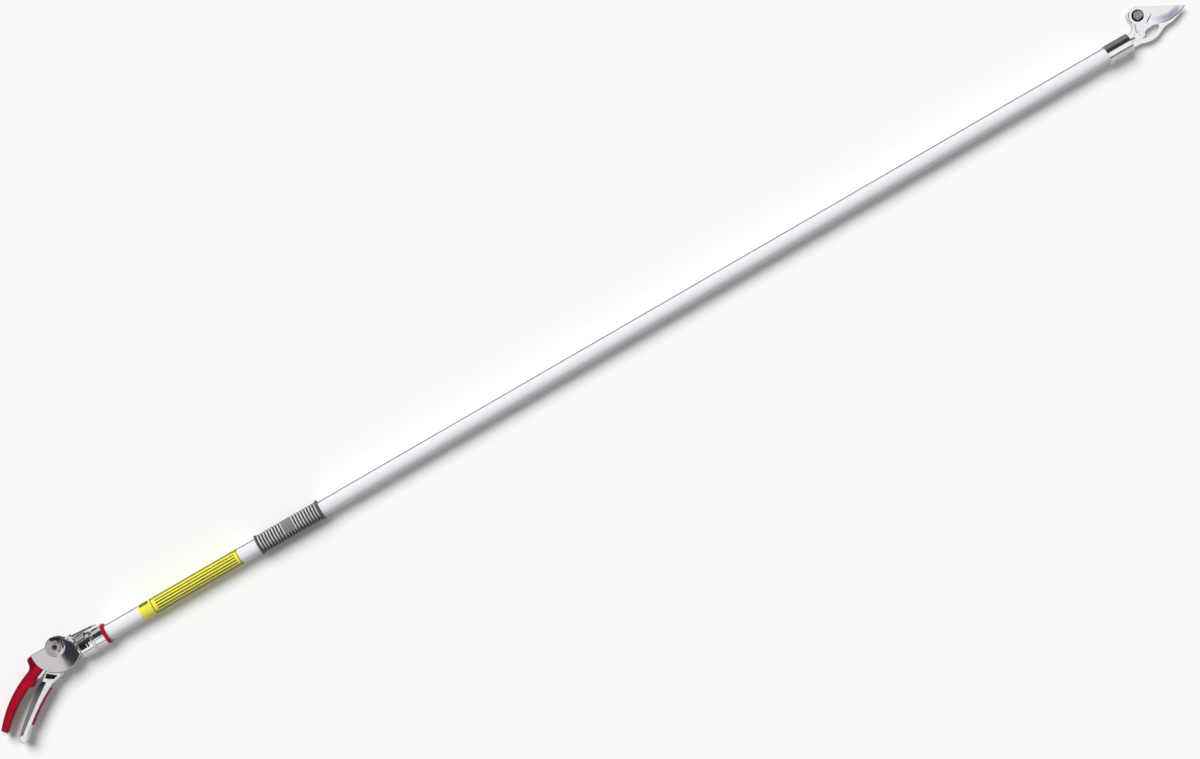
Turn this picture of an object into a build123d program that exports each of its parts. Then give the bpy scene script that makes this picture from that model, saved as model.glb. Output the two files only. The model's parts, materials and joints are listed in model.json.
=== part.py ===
from build123d import *
import math
import os

# Long-reach pruner lying on its side: X runs along the pole from handle to blade, Z is up

# Fits and clearances
FIT = 0.05
PLAY = 0.3
LINK_PLAY = 0.2

# Pole, with its red collar's face at X = 0
POLE_OD = 22.0
POLE_WALL = 1.2
POLE_REACH = 1545.0
POLE_TAIL = 25.0
LABEL_START = 52.0
LABEL_LENGTH = 153.0
LABEL_THICK = 0.25
GRIP_START = 233.0
GRIP_LENGTH = 97.0
GRIP_FLANGE_OD = 28.6
GRIP_FLANGE_WIDTH = 3.0
GRIP_RIB_OD = 26.4
GRIP_GROOVE_OD = 23.2
GRIP_RIBS = 21
GRIP_PAD_LENGTH = 14.0
GRIP_PAD_RISE = 0.2
GRIP_PAD_ANGLES = (-25, 25, 75)

# Pole socket and index ring, which turn with the pole
COLLAR_OD = 29.2
COLLAR_LENGTH = 4.8
COLLAR_BEVEL = 0.8
SOCKET_OD = 28.4
SOCKET_LENGTH = 14.8
SOCKET_SLEEVE_OD = 25.0
SOCKET_TAIL = 22.8
RING_OD = 30.0
RING_GAP = 1.9
RING_LENGTH = 20.5
RING_NOTCHES = 4
NOTCH_LENGTH = 9.6
NOTCH_WIDTH = 7.6
NOTCH_SETBACK = 1.5
NOTCH_BRIDGE = 1.2
SLIT_LENGTH = 2.6
EDGE_BEVEL = 1.2

# Handle head: two side plates on the trigger pivot
PIVOT_X = -69.0
PIVOT_Y = 18.5
DISC_R = 35.0
HUB_R = 13.5
HUB_RISE = 1.8
HUB_TOP_R = 8.4
HUB_DISH_R = 7.4
HUB_DISH_DEPTH = 0.6
SPINE_HEIGHT = 6.5
PLATE_FRONT = 24.5
PLATE_THICK = 2.0
PLATE_GAP = 15.0
RIM_BEVEL = 0.7
RIM_GAP = 0.4
PIVOT_BOLT_R = 5.0
BOLT_HEAD_R = 6.6
BOLT_HEAD_HEIGHT = 2.4
BOLT_SOCKET = 6.0
BOLT_SOCKET_FLOOR = 0.6
BOLT_BEVEL = 0.8
DOWEL_R = 2.0
DOWEL_COVER = 0.6

# Neck: block between the plates with a hollow spindle
FLANGE_R = 12.8
FLANGE_THICK = 1.5
SPINDLE_R = 7.5
SPINDLE_LENGTH = 17.0
SPINDLE_BORE_R = 4.6
BLOCK_LENGTH = 11.7
BLOCK_TOP = 22.5
BLOCK_BOTTOM = -7.0
CLIP_ROOM = 1.5
CLIP_THICK = 1.2
CLIP_DEPTH = 0.9
CLIP_WALL = 2.5

# Rear grip and its core
GRIP_HALF = 8.6
GRIP_WALL = 2.2
GRIP_ROUND = 3.0
CORE_HALF = 6.2
CORE_TOP_ANGLE = 170.5
CORE_LOW_ANGLE = 211.5
CORE_STOP_ANGLE = 214.5
GRIP_STOP_END = (-11.8, -25.1)
GRIP_HEEL = (-86.6, -63.9)
GRIP_TOE = (-80.6, -70.9)
STRIP_GAP = 0.6
STRIP_ROOT = 5.0
STRIP_LENGTH = 12.5
STRIP_THICK = 2.4
TIP_BARE = 3.4

# Trigger
HUB_CLEAR_R = 12.8
TRIGGER_HUB_R = 12.0
TRIGGER_HALF = 8.4
TRIGGER_LEFT_ANGLE = 217.5
TRIGGER_RIGHT_ANGLE = 253.5
TRIGGER_SWING = 38.0
TRIGGER_ROUND = 2.4
POCKET_DEPTH = 6.0
WEB_DEPTH = 3.6
PAD_PROUD = 2.0
PAD_DEPTH = 1.6
PAD_HALF = 5.6

# Pull line
ROD_PIN_ARM = 18.5
ROD_PIN_R = 2.5
YOKE_HALF = 3.6
YOKE_HEAD_R = 5.5
YOKE_NECK = 6.0
YOKE_SLOT_HALF = 4.4
YOKE_SLOT_REACH = 60.0
YOKE_SLOT_SPARE = 3.0
SHANK_R = 4.0
SWIVEL_R = 7.0
SWIVEL_START = 4.0
SWIVEL_LENGTH = 14.0
SWIVEL_WALL = 3.0
SWIVEL_BEVEL = 0.8
SHANK_GRIP = 5.5
BUTTON_R = 4.0
BUTTON_LENGTH = 4.2
ROD_R = 2.5
GUIDE_COUNT = 4
GUIDE_LENGTH = 8.0
SPRING_WIRE = 1.4
SPRING_MEAN_R = 6.0
SPRING_TURNS = 6

# Index lever
LEVER_PIN = (-49.5, 19.0)
LEVER_PIN_R = 1.5
LEVER_KNUCKLE_R = 3.0
LEVER_LIFT = 2.8
LEVER_HALF = 6.0
FORK_IN = 1.3
FORK_OUT = 4.0
PAWL_DEPTH = 0.6
PAWL_LENGTH = 3.5
SADDLE_THICK = 1.7
SADDLE_EDGE = 8.6
LEAF_THICK = 0.5
LEVER_BEVEL = 1.2
LEVER_BEVEL_WIDTH = 2.2
LEVER_SLOT = 1.3
LEVER_SLOT_DEPTH = 2.0
LEVER_SLOT_ENDS = ((-43.0, 17.6), (-29.0, 16.0))
LEVER_ROOT = (-43.5, 21.0)
LEVER_BROW = (-14.2, 17.4)
LEVER_TIP = -10.2

# Head socket and plug
HEAD_SOCKET_OD = 24.6
HEAD_SOCKET_LENGTH = 36.5
CLAMP_THICK = 1.4
CLAMP_EDGE_Y = -6.0
CLAMP_NOTCH = 3.0
PLUG_LENGTH = 32.0
PLUG_COLLAR_LENGTH = 12.3
PLUG_BORE_R = 3.7
TANG_COVER = 0.6
TANG_PIN_R = 1.2
CLAMP_SCREW_R = 1.6
CLAMP_SCREW_HEAD_R = 2.8
CLAMP_SCREW_HEAD = 0.9

# Blade and hook, stacked on the far side of the rod
HEAD_PIVOT_X = 26.8
HEAD_PIVOT_Y = 25.2
HOOK_THICK = 4.2
BLADE_THICK = 3.2
BLADE_TOP = -0.9
STACK_GAP = 0.1
BLADE_EDGE_R = 50.0
BLADE_BEVEL = 13.0
BLADE_EDGE_LAND = 0.5
HEAD_BOLT_R = 4.0
HEAD_BOLT_CAP_R = 6.5
HEAD_BOLT_CAP = 3.6
HEAD_BOLT_BEVEL = 0.6
WASHER_R = 8.2
WASHER_THICK = 1.0
WASHER_TAB_ANGLE = -75.0
WASHER_TAB_IN = 5.0
WASHER_TAB_WIDTH = 6.0
WASHER_TAB_RISE = 2.4
HEAD_NUT_AF = 13.0
HEAD_NUT_THICK = 4.8
LINK_ARM = 24.5
LINK_ANGLE = 20.0
LINK_PIN_R = 2.0
LINK_HEAD_R = 3.3
ARM_R = 5.0
EYE_THICK = 3.0
EYE_R = 4.6
EYE_BARREL_R = 3.2
EYE_BARREL_LENGTH = 18.0
EYE_LENGTH = 28.0
EYE_END_WALL = 4.0
LINK_HEAD = 1.2

# Places worked out from the sizes above
POLE_R = POLE_OD / 2
POLE_BORE_R = POLE_R - POLE_WALL
CLIP_R = POLE_R - CLIP_ROOM
PLATE_IN = PLATE_GAP / 2
PLATE_OUT = PLATE_IN + PLATE_THICK
BOSS_TOP = PLATE_OUT + HUB_RISE
SOCKET_FACE = -COLLAR_LENGTH
SOCKET_SHOULDER = SOCKET_FACE - SOCKET_LENGTH
SOCKET_BACK = SOCKET_SHOULDER - SOCKET_TAIL
RING_FRONT = SOCKET_SHOULDER - RING_GAP
RING_BACK = RING_FRONT - RING_LENGTH
PLATE_FRONT_X = PIVOT_X + PLATE_FRONT
SPINDLE_BACK = PLATE_FRONT_X + FLANGE_THICK
SPINDLE_END = SPINDLE_BACK + SPINDLE_LENGTH
CLIP_BACK = SPINDLE_END - CLIP_WALL - CLIP_THICK
SOCKET_STEP = CLIP_BACK - PLAY
HEAD_END = POLE_REACH + HEAD_SOCKET_LENGTH
PLUG_COLLAR_X = HEAD_END - PLUG_COLLAR_LENGTH
POLE_END = PLUG_COLLAR_X - LINK_PLAY
HEAD_X = HEAD_END + HEAD_PIVOT_X
HEAD_Y = HEAD_PIVOT_Y
BLADE_BOTTOM = BLADE_TOP - BLADE_THICK
HOOK_TOP = BLADE_BOTTOM - STACK_GAP
HOOK_BOTTOM = HOOK_TOP - HOOK_THICK
TANG_HALF = math.sqrt(POLE_R**2 - HOOK_BOTTOM**2) - TANG_COVER
EYE_BOTTOM = BLADE_TOP + LINK_PLAY
EYE_TOP = EYE_BOTTOM + EYE_THICK
HALF_SWING = math.radians(TRIGGER_SWING / 2)
ROD_PIN_X = PIVOT_X - ROD_PIN_ARM * math.sin(HALF_SWING)
ROD_PIN_Y = PIVOT_Y - ROD_PIN_ARM * math.cos(HALF_SWING)
ROD_PIN_LOW = PIVOT_Y - ROD_PIN_ARM
ROD_TRAVEL = 2 * ROD_PIN_ARM * math.sin(HALF_SWING)
LINK_X = HEAD_X - LINK_ARM * math.sin(math.radians(LINK_ANGLE))
LINK_Y = HEAD_Y - LINK_ARM * math.cos(math.radians(LINK_ANGLE))
LINK_LOW = HEAD_Y - LINK_ARM
EYE_X = LINK_X - EYE_LENGTH


# Shared shapes
def slab(sketch, z0, z1):
    return extrude(Pos(0, 0, z0) * sketch, amount=z1 - z0)


def outline(*curves):
    return make_face([edge for curve in curves for edge in curve.edges()])


def polygon(*points):
    return make_face(Polyline(*points, close=True))


def bar_x(radius, x0, x1):
    return extrude(Plane.YZ.offset(x0) * Circle(radius), amount=x1 - x0)


def tube_x(outer, inner, x0, x1):
    return extrude(Plane.YZ.offset(x0) * (Circle(outer) - Circle(inner)), amount=x1 - x0)


def outer_rims(solid, radius):
    circles = solid.edges().filter_by(GeomType.CIRCLE)
    return circles.filter_by(lambda edge: edge.radius > radius - FIT)


def pin_z(x, y, radius, z0, z1):
    return slab(Pos(x, y) * Circle(radius), z0, z1)


def pin_y(x, z, radius, y0, y1):
    return extrude(Plane.XZ.offset(-y1) * Pos(x, z) * Circle(radius), amount=y1 - y0)


def block(x0, x1, y0, y1, z0, z1):
    return slab(Pos((x0 + x1) / 2, (y0 + y1) / 2) * Rectangle(x1 - x0, y1 - y0), z0, z1)


def turned(*points):
    return revolve(polygon(*points), axis=Axis.X)


def polar(radius, angle):
    turn = math.radians(angle)
    return (PIVOT_X + radius * math.cos(turn), PIVOT_Y + radius * math.sin(turn))


def round_corners(face, radii):
    for point, radius in radii.items():
        corner = face.vertices().sort_by_distance(Vector(*point))[0]
        face = fillet(corner, radius)
    return face


def rounded_slab(face, half, radius, disc_r):
    solid = slab(face, -half, half)
    rims = solid.faces().filter_by(Plane.XY).edges()
    outer = rims.filter_by(lambda edge: not on_disc(edge, disc_r))
    return fillet(outer, radius)


def on_disc(edge, disc_r):
    middle = edge @ 0.5
    return abs(math.hypot(middle.X - PIVOT_X, middle.Y - PIVOT_Y) - disc_r) < 0.1


def upright_slot(x, y0, y1, radius):
    ends = Pos(x, y0) * Circle(radius) + Pos(x, y1) * Circle(radius)
    return ends + Pos(x, (y0 + y1) / 2) * Rectangle(2 * radius, y1 - y0)


# Dowels that hold the plates to the core and the neck block
DOWELS = (polar(25, 177), polar(26, 203), (PLATE_FRONT_X - 4.5, 9.0), (PLATE_FRONT_X - 9.5, 10.5))


def dowels(radius, cover):
    half = PLATE_OUT - cover
    return [pin_z(x, y, radius, -half, half) for x, y in DOWELS]


# Side plates: a disc with a flat spine, a straight front edge and a raised hub
def plate_outline():
    disc = Circle(DISC_R)
    disc -= Pos(0, SPINE_HEIGHT + DISC_R) * Rectangle(3 * DISC_R, 2 * DISC_R)
    disc -= Pos(PLATE_FRONT + DISC_R, 0) * Rectangle(2 * DISC_R, 3 * DISC_R)
    disc -= polygon((PLATE_FRONT, -8), (PLATE_FRONT, SPINE_HEIGHT), (HUB_R, SPINE_HEIGHT))
    return Pos(PIVOT_X, PIVOT_Y) * (disc + Circle(HUB_R))


def side_plate():
    plate = slab(plate_outline(), PLATE_IN, PLATE_OUT)
    plate = chamfer(plate.faces().sort_by(Axis.Z)[-1].edges(), RIM_BEVEL)
    boss = Cone(HUB_R - RIM_BEVEL, HUB_TOP_R, HUB_RISE)
    plate += Pos(PIVOT_X, PIVOT_Y, PLATE_OUT + HUB_RISE / 2) * boss
    plate -= pin_z(PIVOT_X, PIVOT_Y, HUB_DISH_R, BOSS_TOP - HUB_DISH_DEPTH, BOSS_TOP)
    plate -= pin_z(PIVOT_X, PIVOT_Y, PIVOT_BOLT_R + FIT, 0, BOSS_TOP)
    for dowel in dowels(DOWEL_R + FIT, DOWEL_COVER):
        plate -= dowel
    return plate


# Handle core: a bar between the plates that runs on inside the rear grip
def grip_at(dx, dy):
    return (PIVOT_X - DISC_R + dx, PIVOT_Y + dy)


def grip_outline(start_r):
    top = polar(start_r, CORE_TOP_ANGLE)
    low = polar(start_r, CORE_LOW_ANGLE)
    corner = grip_at(-7.0, 4.9)
    web = grip_at(-9.6, -9.1)
    heel = grip_at(*GRIP_HEEL)
    toe = grip_at(*GRIP_TOE)
    stop_root = grip_at(-23.5, -29.7)
    stop_low = grip_at(-18.5, -32.1)
    stop_high = grip_at(-11.5, -28.5)
    stop_end = grip_at(*GRIP_STOP_END)
    face = outline(
        ThreePointArc(low, polar(start_r, 191), top),
        Polyline(top, corner, web),
        ThreePointArc(web, grip_at(-55.0, -32.7), heel),
        Line(heel, toe),
        ThreePointArc(toe, grip_at(-44.2, -41.1), stop_root),
        Polyline(stop_root, stop_low, stop_high, stop_end, low),
    )
    return round_corners(face, {
        corner: 3.4, web: 9.0, heel: 4.2, toe: 4.2, stop_root: 4.0, stop_low: 2.2, stop_high: 2.2,
        stop_end: 1.0,
    })


def core_tang(extra):
    tang = offset(grip_outline(DISC_R - 5), extra - GRIP_WALL)
    tip = Pos(*grip_at(-82.2, -66.0)) * Circle(3.2 + extra)
    return tang + tip


def core_strip():
    low = Vector(*polar(DISC_R + RIM_GAP, CORE_LOW_ANGLE))
    along = Vector(*grip_at(*GRIP_STOP_END)) - low
    middle = Pos((STRIP_LENGTH - STRIP_ROOT) / 2, STRIP_GAP + STRIP_THICK / 2)
    bar = middle * Rectangle(STRIP_LENGTH + STRIP_ROOT, STRIP_THICK)
    return Plane(low, x_dir=along, z_dir=(0, 0, 1)) * bar


def handle_core():
    reach = 2 * DISC_R
    wedge = polygon((PIVOT_X, PIVOT_Y), polar(reach, CORE_TOP_ANGLE), polar(reach, CORE_STOP_ANGLE))
    head = (Pos(PIVOT_X, PIVOT_Y) * Circle(DISC_R - RIM_BEVEL)) & wedge
    head -= Pos(PIVOT_X, PIVOT_Y) * Circle(HUB_CLEAR_R)
    core = slab(head, -PLATE_IN, PLATE_IN)
    core += slab(core_tang(0), -CORE_HALF, CORE_HALF)
    core += slab(core_strip(), -CORE_HALF, CORE_HALF)
    for dowel in dowels(DOWEL_R + FIT, DOWEL_COVER):
        core -= dowel
    return core


def rear_grip():
    start = DISC_R + RIM_GAP
    grip = rounded_slab(grip_outline(start), GRIP_HALF, GRIP_ROUND, start)
    heel = Vector(*grip_at(*GRIP_HEEL))
    toe = Vector(*grip_at(*GRIP_TOE))
    end = Plane((heel + toe) / 2, x_dir=toe - heel, z_dir=(0, 0, 1))
    grip -= slab(end * Rectangle(3 * GRIP_HALF, 2 * TIP_BARE), -GRIP_HALF, GRIP_HALF)
    return grip - slab(core_tang(FIT), -CORE_HALF - FIT, CORE_HALF + FIT)


# Trigger pivot bolt and nut
def trigger_pivot_bolt():
    floor = BOSS_TOP - HUB_DISH_DEPTH
    bolt = pin_z(PIVOT_X, PIVOT_Y, PIVOT_BOLT_R, -floor - BOLT_HEAD_HEIGHT, floor)
    head = pin_z(PIVOT_X, PIVOT_Y, BOLT_HEAD_R, floor, floor + BOLT_HEAD_HEIGHT)
    head = chamfer(head.faces().sort_by(Axis.Z)[-1].edges(), BOLT_BEVEL)
    socket = Pos(PIVOT_X, PIVOT_Y) * RegularPolygon(BOLT_SOCKET / 2, 6, major_radius=False)
    return bolt + head - slab(socket, floor + BOLT_SOCKET_FLOOR, floor + BOLT_HEAD_HEIGHT)


def trigger_pivot_nut():
    floor = BOSS_TOP - HUB_DISH_DEPTH
    nut = Pos(PIVOT_X, PIVOT_Y) * (Circle(BOLT_HEAD_R) - Circle(PIVOT_BOLT_R + FIT))
    return slab(nut, -floor - BOLT_HEAD_HEIGHT, -floor)


# Neck
def neck():
    front = PLATE_FRONT_X
    body = polygon(
        (front, BLOCK_BOTTOM),
        (front - 4.5, BLOCK_BOTTOM),
        (front - BLOCK_LENGTH, 2.2),
        (front - BLOCK_LENGTH, BLOCK_TOP),
        (front - 2.0, BLOCK_TOP),
        (front, BLOCK_TOP - 4.0),
    )
    body -= Pos(PIVOT_X, PIVOT_Y) * Circle(HUB_CLEAR_R)
    solid = slab(body, -PLATE_IN, PLATE_IN)
    solid += bar_x(FLANGE_R, front, SPINDLE_BACK)
    solid += bar_x(SPINDLE_R, SPINDLE_BACK, SPINDLE_END)
    solid -= bar_x(SPINDLE_BORE_R, front - 2 * BLOCK_LENGTH, SPINDLE_END)
    groove = tube_x(SPINDLE_R + 1, SPINDLE_R - CLIP_DEPTH, CLIP_BACK - FIT, CLIP_BACK + CLIP_THICK + FIT)
    solid -= groove
    fork_room = FORK_OUT + PLAY
    solid -= block(LEVER_PIN[0] - 4, front + 10, 14.5, 30, -fork_room, fork_room)
    solid -= pin_z(*LEVER_PIN, LEVER_PIN_R + FIT, -PLATE_IN, PLATE_IN)
    for dowel in dowels(DOWEL_R + FIT, DOWEL_COVER):
        solid -= dowel
    return solid


def spindle_clip():
    ring = tube_x(CLIP_R, SPINDLE_R - CLIP_DEPTH + FIT, CLIP_BACK, CLIP_BACK + CLIP_THICK)
    return ring - block(CLIP_BACK - 1, CLIP_BACK + 3, -20, 0, -1.5, 1.5)


# Trigger: a lever whose forked upper arm works the yoke between the plates
def lever_at(dx, dy):
    root = polar(DISC_R, 235)
    return (root[0] + dx, root[1] + dy)


def trigger_lever():
    start = DISC_R + RIM_GAP
    left = polar(start, TRIGGER_LEFT_ANGLE)
    right = polar(start, TRIGGER_RIGHT_ANGLE)
    chin = lever_at(8.5, -8.4)
    nape = lever_at(-5.9, -11.7)
    bend = lever_at(-60.9, -46.8)
    end_low = lever_at(-78.9, -66.2)
    end_high = lever_at(-87.3, -56.4)
    back = lever_at(-30.4, -7.6)
    shoulder = lever_at(-18.9, -1.6)
    face = outline(
        ThreePointArc(left, polar(start, 235), right),
        Polyline(right, chin, nape),
        ThreePointArc(nape, lever_at(-32.9, -26.4), bend),
        ThreePointArc(bend, lever_at(-70.9, -55.8), end_low),
        Line(end_low, end_high),
        ThreePointArc(end_high, lever_at(-58.9, -30.4), back),
        Polyline(back, shoulder, left),
    )
    return round_corners(face, {chin: 3.0, nape: 12.0, bend: 30.0, end_low: 5.0, end_high: 5.0, back: 20.0,
                                shoulder: 6.0})


def trigger_arm():
    arm = polygon(
        polar(TRIGGER_HUB_R, TRIGGER_LEFT_ANGLE + 2),
        polar(DISC_R + 3, TRIGGER_LEFT_ANGLE + 2),
        polar(DISC_R + 3, TRIGGER_RIGHT_ANGLE - 2),
        polar(ROD_PIN_ARM + 4, 267),
        polar(TRIGGER_HUB_R, 285),
    )
    return arm + Pos(PIVOT_X, PIVOT_Y) * Circle(TRIGGER_HUB_R)


def pad_outline(depth, proud):
    top = lever_at(-14.9, -16.1)
    low = lever_at(-59.9, -46.0)
    middle = lever_at(-38.5, -30.0)
    reach = math.hypot(1, 1)
    inward = (-depth / reach, depth / reach)
    outward = (proud / reach, -proud / reach)

    def shift(point, step):
        return (point[0] + step[0], point[1] + step[1])

    return outline(
        ThreePointArc(shift(top, inward), shift(middle, inward), shift(low, inward)),
        Line(shift(low, inward), shift(low, outward)),
        ThreePointArc(shift(low, outward), shift(middle, outward), shift(top, outward)),
        Line(shift(top, outward), shift(top, inward)),
    )


def web_recess():
    top = lever_at(-14.2, -6.2)
    foot = lever_at(-76.5, -52.5)
    return outline(
        ThreePointArc(top, lever_at(-41.1, -25.3), foot),
        Polyline(foot, lever_at(-86.0, -49.0), lever_at(-62.0, -22.0), lever_at(-33.0, -2.5),
                 lever_at(-21.5, 0.5), top),
    )


def yoke_slot():
    radius = YOKE_HEAD_R + ROD_PIN_Y - ROD_PIN_LOW + PLAY
    down = math.radians(-TRIGGER_SWING - YOKE_SLOT_SPARE)
    heel = (radius * math.sin(down), -radius * math.cos(down))
    far = (heel[0] + YOKE_SLOT_REACH * math.cos(down), heel[1] + YOKE_SLOT_REACH * math.sin(down))
    room = polygon((0, YOKE_HEAD_R), (YOKE_SLOT_REACH, YOKE_HEAD_R), far, heel)
    return Pos(ROD_PIN_X, ROD_PIN_Y) * (Circle(radius) + room)


def trigger():
    arm_half = PLATE_IN - PLAY
    lever = rounded_slab(trigger_lever(), TRIGGER_HALF, TRIGGER_ROUND, DISC_R + RIM_GAP)
    solid = lever + slab(trigger_arm(), -arm_half, arm_half)
    pocket = polygon(lever_at(-7.9, 3.7), lever_at(4.1, -6.0), lever_at(-3.4, -7.8), lever_at(-12.9, -1.3))
    for cut, depth in ((pocket, POCKET_DEPTH), (web_recess(), WEB_DEPTH)):
        solid -= slab(cut, TRIGGER_HALF - depth, TRIGGER_HALF)
        solid -= slab(cut, -TRIGGER_HALF, depth - TRIGGER_HALF)
    solid -= slab(pad_outline(PAD_DEPTH + FIT, 8), -PAD_HALF - FIT, PAD_HALF + FIT)
    solid -= slab(yoke_slot(), -YOKE_SLOT_HALF, YOKE_SLOT_HALF)
    solid -= pin_z(PIVOT_X, PIVOT_Y, PIVOT_BOLT_R + FIT, -PLATE_IN, PLATE_IN)
    solid -= pin_z(ROD_PIN_X, ROD_PIN_Y, ROD_PIN_R + FIT, -PLATE_IN, PLATE_IN)
    return solid


def trigger_pad():
    return slab(pad_outline(PAD_DEPTH, PAD_PROUD), -PAD_HALF, PAD_HALF)


# Pull line from the trigger to the blade
def rod_yoke():
    head = upright_slot(ROD_PIN_X, ROD_PIN_LOW, ROD_PIN_Y, YOKE_HEAD_R)
    head += Pos(ROD_PIN_X + YOKE_NECK / 2, 0) * Rectangle(YOKE_NECK, 2 * SHANK_R)
    yoke = slab(head, -YOKE_HALF, YOKE_HALF)
    yoke += bar_x(SHANK_R, ROD_PIN_X + ROD_PIN_R + LINK_PLAY, SWIVEL_START + SHANK_GRIP - LINK_PLAY)
    return yoke - slab(
        upright_slot(ROD_PIN_X, ROD_PIN_LOW, ROD_PIN_Y, ROD_PIN_R + LINK_PLAY), -YOKE_HALF, YOKE_HALF
    )


def rod_swivel():
    end = SWIVEL_START + SWIVEL_LENGTH
    body = bar_x(SWIVEL_R, SWIVEL_START, end)
    body = chamfer(body.edges(), SWIVEL_BEVEL)
    body -= bar_x(SHANK_R + FIT, SWIVEL_START, SWIVEL_START + SHANK_GRIP)
    body -= bar_x(BUTTON_R + LINK_PLAY, SWIVEL_START + SHANK_GRIP, end - SWIVEL_WALL)
    return body - bar_x(ROD_R + LINK_PLAY, end - SWIVEL_WALL, end)


def pull_rod():
    end = SWIVEL_START + SWIVEL_LENGTH - SWIVEL_WALL
    button = end - LINK_PLAY - BUTTON_LENGTH
    rod = bar_x(BUTTON_R, button, button + BUTTON_LENGTH)
    return rod + bar_x(ROD_R, button, EYE_X + EYE_BARREL_LENGTH - EYE_END_WALL)


def return_spring():
    half = SPRING_WIRE / 2
    start = SPINDLE_END + half + FIT
    height = SWIVEL_START - half - FIT - start
    path = Helix(pitch=height / SPRING_TURNS, height=height, radius=SPRING_MEAN_R)
    section = Plane(path @ 0, z_dir=path % 0) * Rectangle(SPRING_WIRE, SPRING_WIRE)
    wire = sweep(section, path=path, is_frenet=True)
    return Pos(start, 0, 0) * Rot(0, 90, 0) * wire


def rod_guides():
    step = POLE_REACH / (GUIDE_COUNT + 1)
    return Compound(children=[
        tube_x(POLE_BORE_R - FIT, ROD_R + LINK_PLAY, step * (i + 1), step * (i + 1) + GUIDE_LENGTH)
        for i in range(GUIDE_COUNT)
    ])


def rod_eye():
    eye = upright_slot(LINK_X, LINK_LOW, LINK_Y, EYE_R)
    eye += polygon((EYE_X + 10, -EYE_BARREL_R), (LINK_X, -EYE_R + LINK_LOW), (LINK_X, LINK_Y + EYE_R),
                   (EYE_X + 14, EYE_BARREL_R))
    solid = slab(eye, EYE_BOTTOM, EYE_TOP)
    solid += bar_x(EYE_BARREL_R, EYE_X, EYE_X + EYE_BARREL_LENGTH)
    solid -= bar_x(ROD_R + FIT, EYE_X, EYE_X + EYE_BARREL_LENGTH - EYE_END_WALL + FIT)
    slot = upright_slot(LINK_X, LINK_LOW - LINK_PLAY, LINK_Y + LINK_PLAY, LINK_PIN_R + LINK_PLAY)
    return solid - slab(slot, EYE_BOTTOM, EYE_TOP)


# Index lever: a forked lever with a saddle and a pawl over the index ring
def lever_bevel(side):
    along = Vector(*LEVER_BROW) - Vector(*LEVER_ROOT)
    up = Vector(-along.Y, along.X, 0).normalized()
    inner = side * (LEVER_HALF - 1.5 * LEVER_BEVEL)
    outer = side * (LEVER_HALF + 0.5 * LEVER_BEVEL)
    corner = LEVER_BEVEL_WIDTH / 2
    wedge = polygon((corner, inner), (-3 * corner, outer), (corner, outer))
    return extrude(Plane(LEVER_ROOT, x_dir=up, z_dir=along) * wedge, amount=along.length, both=True)


def lever_slot(side):
    back, front = (Vector(*end) for end in LEVER_SLOT_ENDS)
    slot = Plane((back + front) / 2, x_dir=front - back) * Rectangle((front - back).length, LEVER_SLOT)
    faces = sorted((side * (LEVER_HALF - LEVER_SLOT_DEPTH), side * (LEVER_HALF + LEVER_SLOT)))
    return slab(slot, *faces)


def index_lever():
    ring_r = RING_OD / 2
    under = ring_r + 0.4
    bar = polygon(
        LEVER_ROOT,
        LEVER_BROW,
        (LEVER_TIP, 15.6),
        (LEVER_TIP, 14.7),
        (RING_FRONT + 1, 14.7),
        (RING_FRONT + 1, under),
        (RING_BACK - 1, under),
        (LEVER_ROOT[0], under + 0.4),
    )
    solid = slab(bar, -LEVER_HALF, LEVER_HALF)
    for side in (-1, 1):
        solid -= lever_bevel(side)
        solid -= lever_slot(side)
    saddle = tube_x(ring_r + 0.4 + SADDLE_THICK, ring_r + 0.4, RING_BACK + 0.8, RING_BACK + 13.5)
    solid += saddle & block(RING_BACK, RING_FRONT, SADDLE_EDGE, RING_OD, -RING_OD, RING_OD)
    arm = Pos(*LEVER_PIN) * Circle(LEVER_KNUCKLE_R)
    arm += polygon(
        (LEVER_PIN[0], LEVER_PIN[1] + LEVER_KNUCKLE_R),
        (LEVER_PIN[0] + 7, LEVER_PIN[1] + 1.9),
        (LEVER_PIN[0] + 7, under),
        (LEVER_PIN[0], LEVER_PIN[1] - LEVER_KNUCKLE_R),
    )
    solid += slab(arm, -FORK_OUT, FORK_OUT)
    notch_front = RING_BACK + NOTCH_SETBACK + NOTCH_LENGTH
    pawl_front = notch_front - 0.5
    pawl_half = NOTCH_WIDTH / 2 - PLAY
    pawl_back = pawl_front - PAWL_LENGTH
    solid += block(pawl_back, pawl_front, ring_r - PAWL_DEPTH, under + 1, -pawl_half, pawl_half)
    solid -= block(LEVER_PIN[0] - 5, pawl_back - 2, 0, RING_OD, -FORK_IN, FORK_IN)
    solid -= pin_z(*LEVER_PIN, LEVER_PIN_R + FIT, -FORK_OUT, FORK_OUT)
    hinge = Pos(*LEVER_PIN)
    return hinge * Rot(0, 0, LEVER_LIFT) * hinge.inverse() * solid


def index_lever_pin():
    return pin_z(*LEVER_PIN, LEVER_PIN_R, -PLATE_IN, PLATE_IN)


def index_lever_spring():
    back = PLATE_FRONT_X - BLOCK_LENGTH
    return block(back, LEVER_PIN[0] + 5, BLOCK_TOP, BLOCK_TOP + LEAF_THICK, -FORK_OUT - 1, FORK_OUT + 1)


# Pole and what is fixed on it
def pole_tube():
    tube = tube_x(POLE_R, POLE_BORE_R, -POLE_TAIL, POLE_END)
    return tube - clamp_screw_holes()


def label_band():
    return tube_x(POLE_R + FIT + LABEL_THICK, POLE_R + FIT, LABEL_START, LABEL_START + LABEL_LENGTH)


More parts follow.
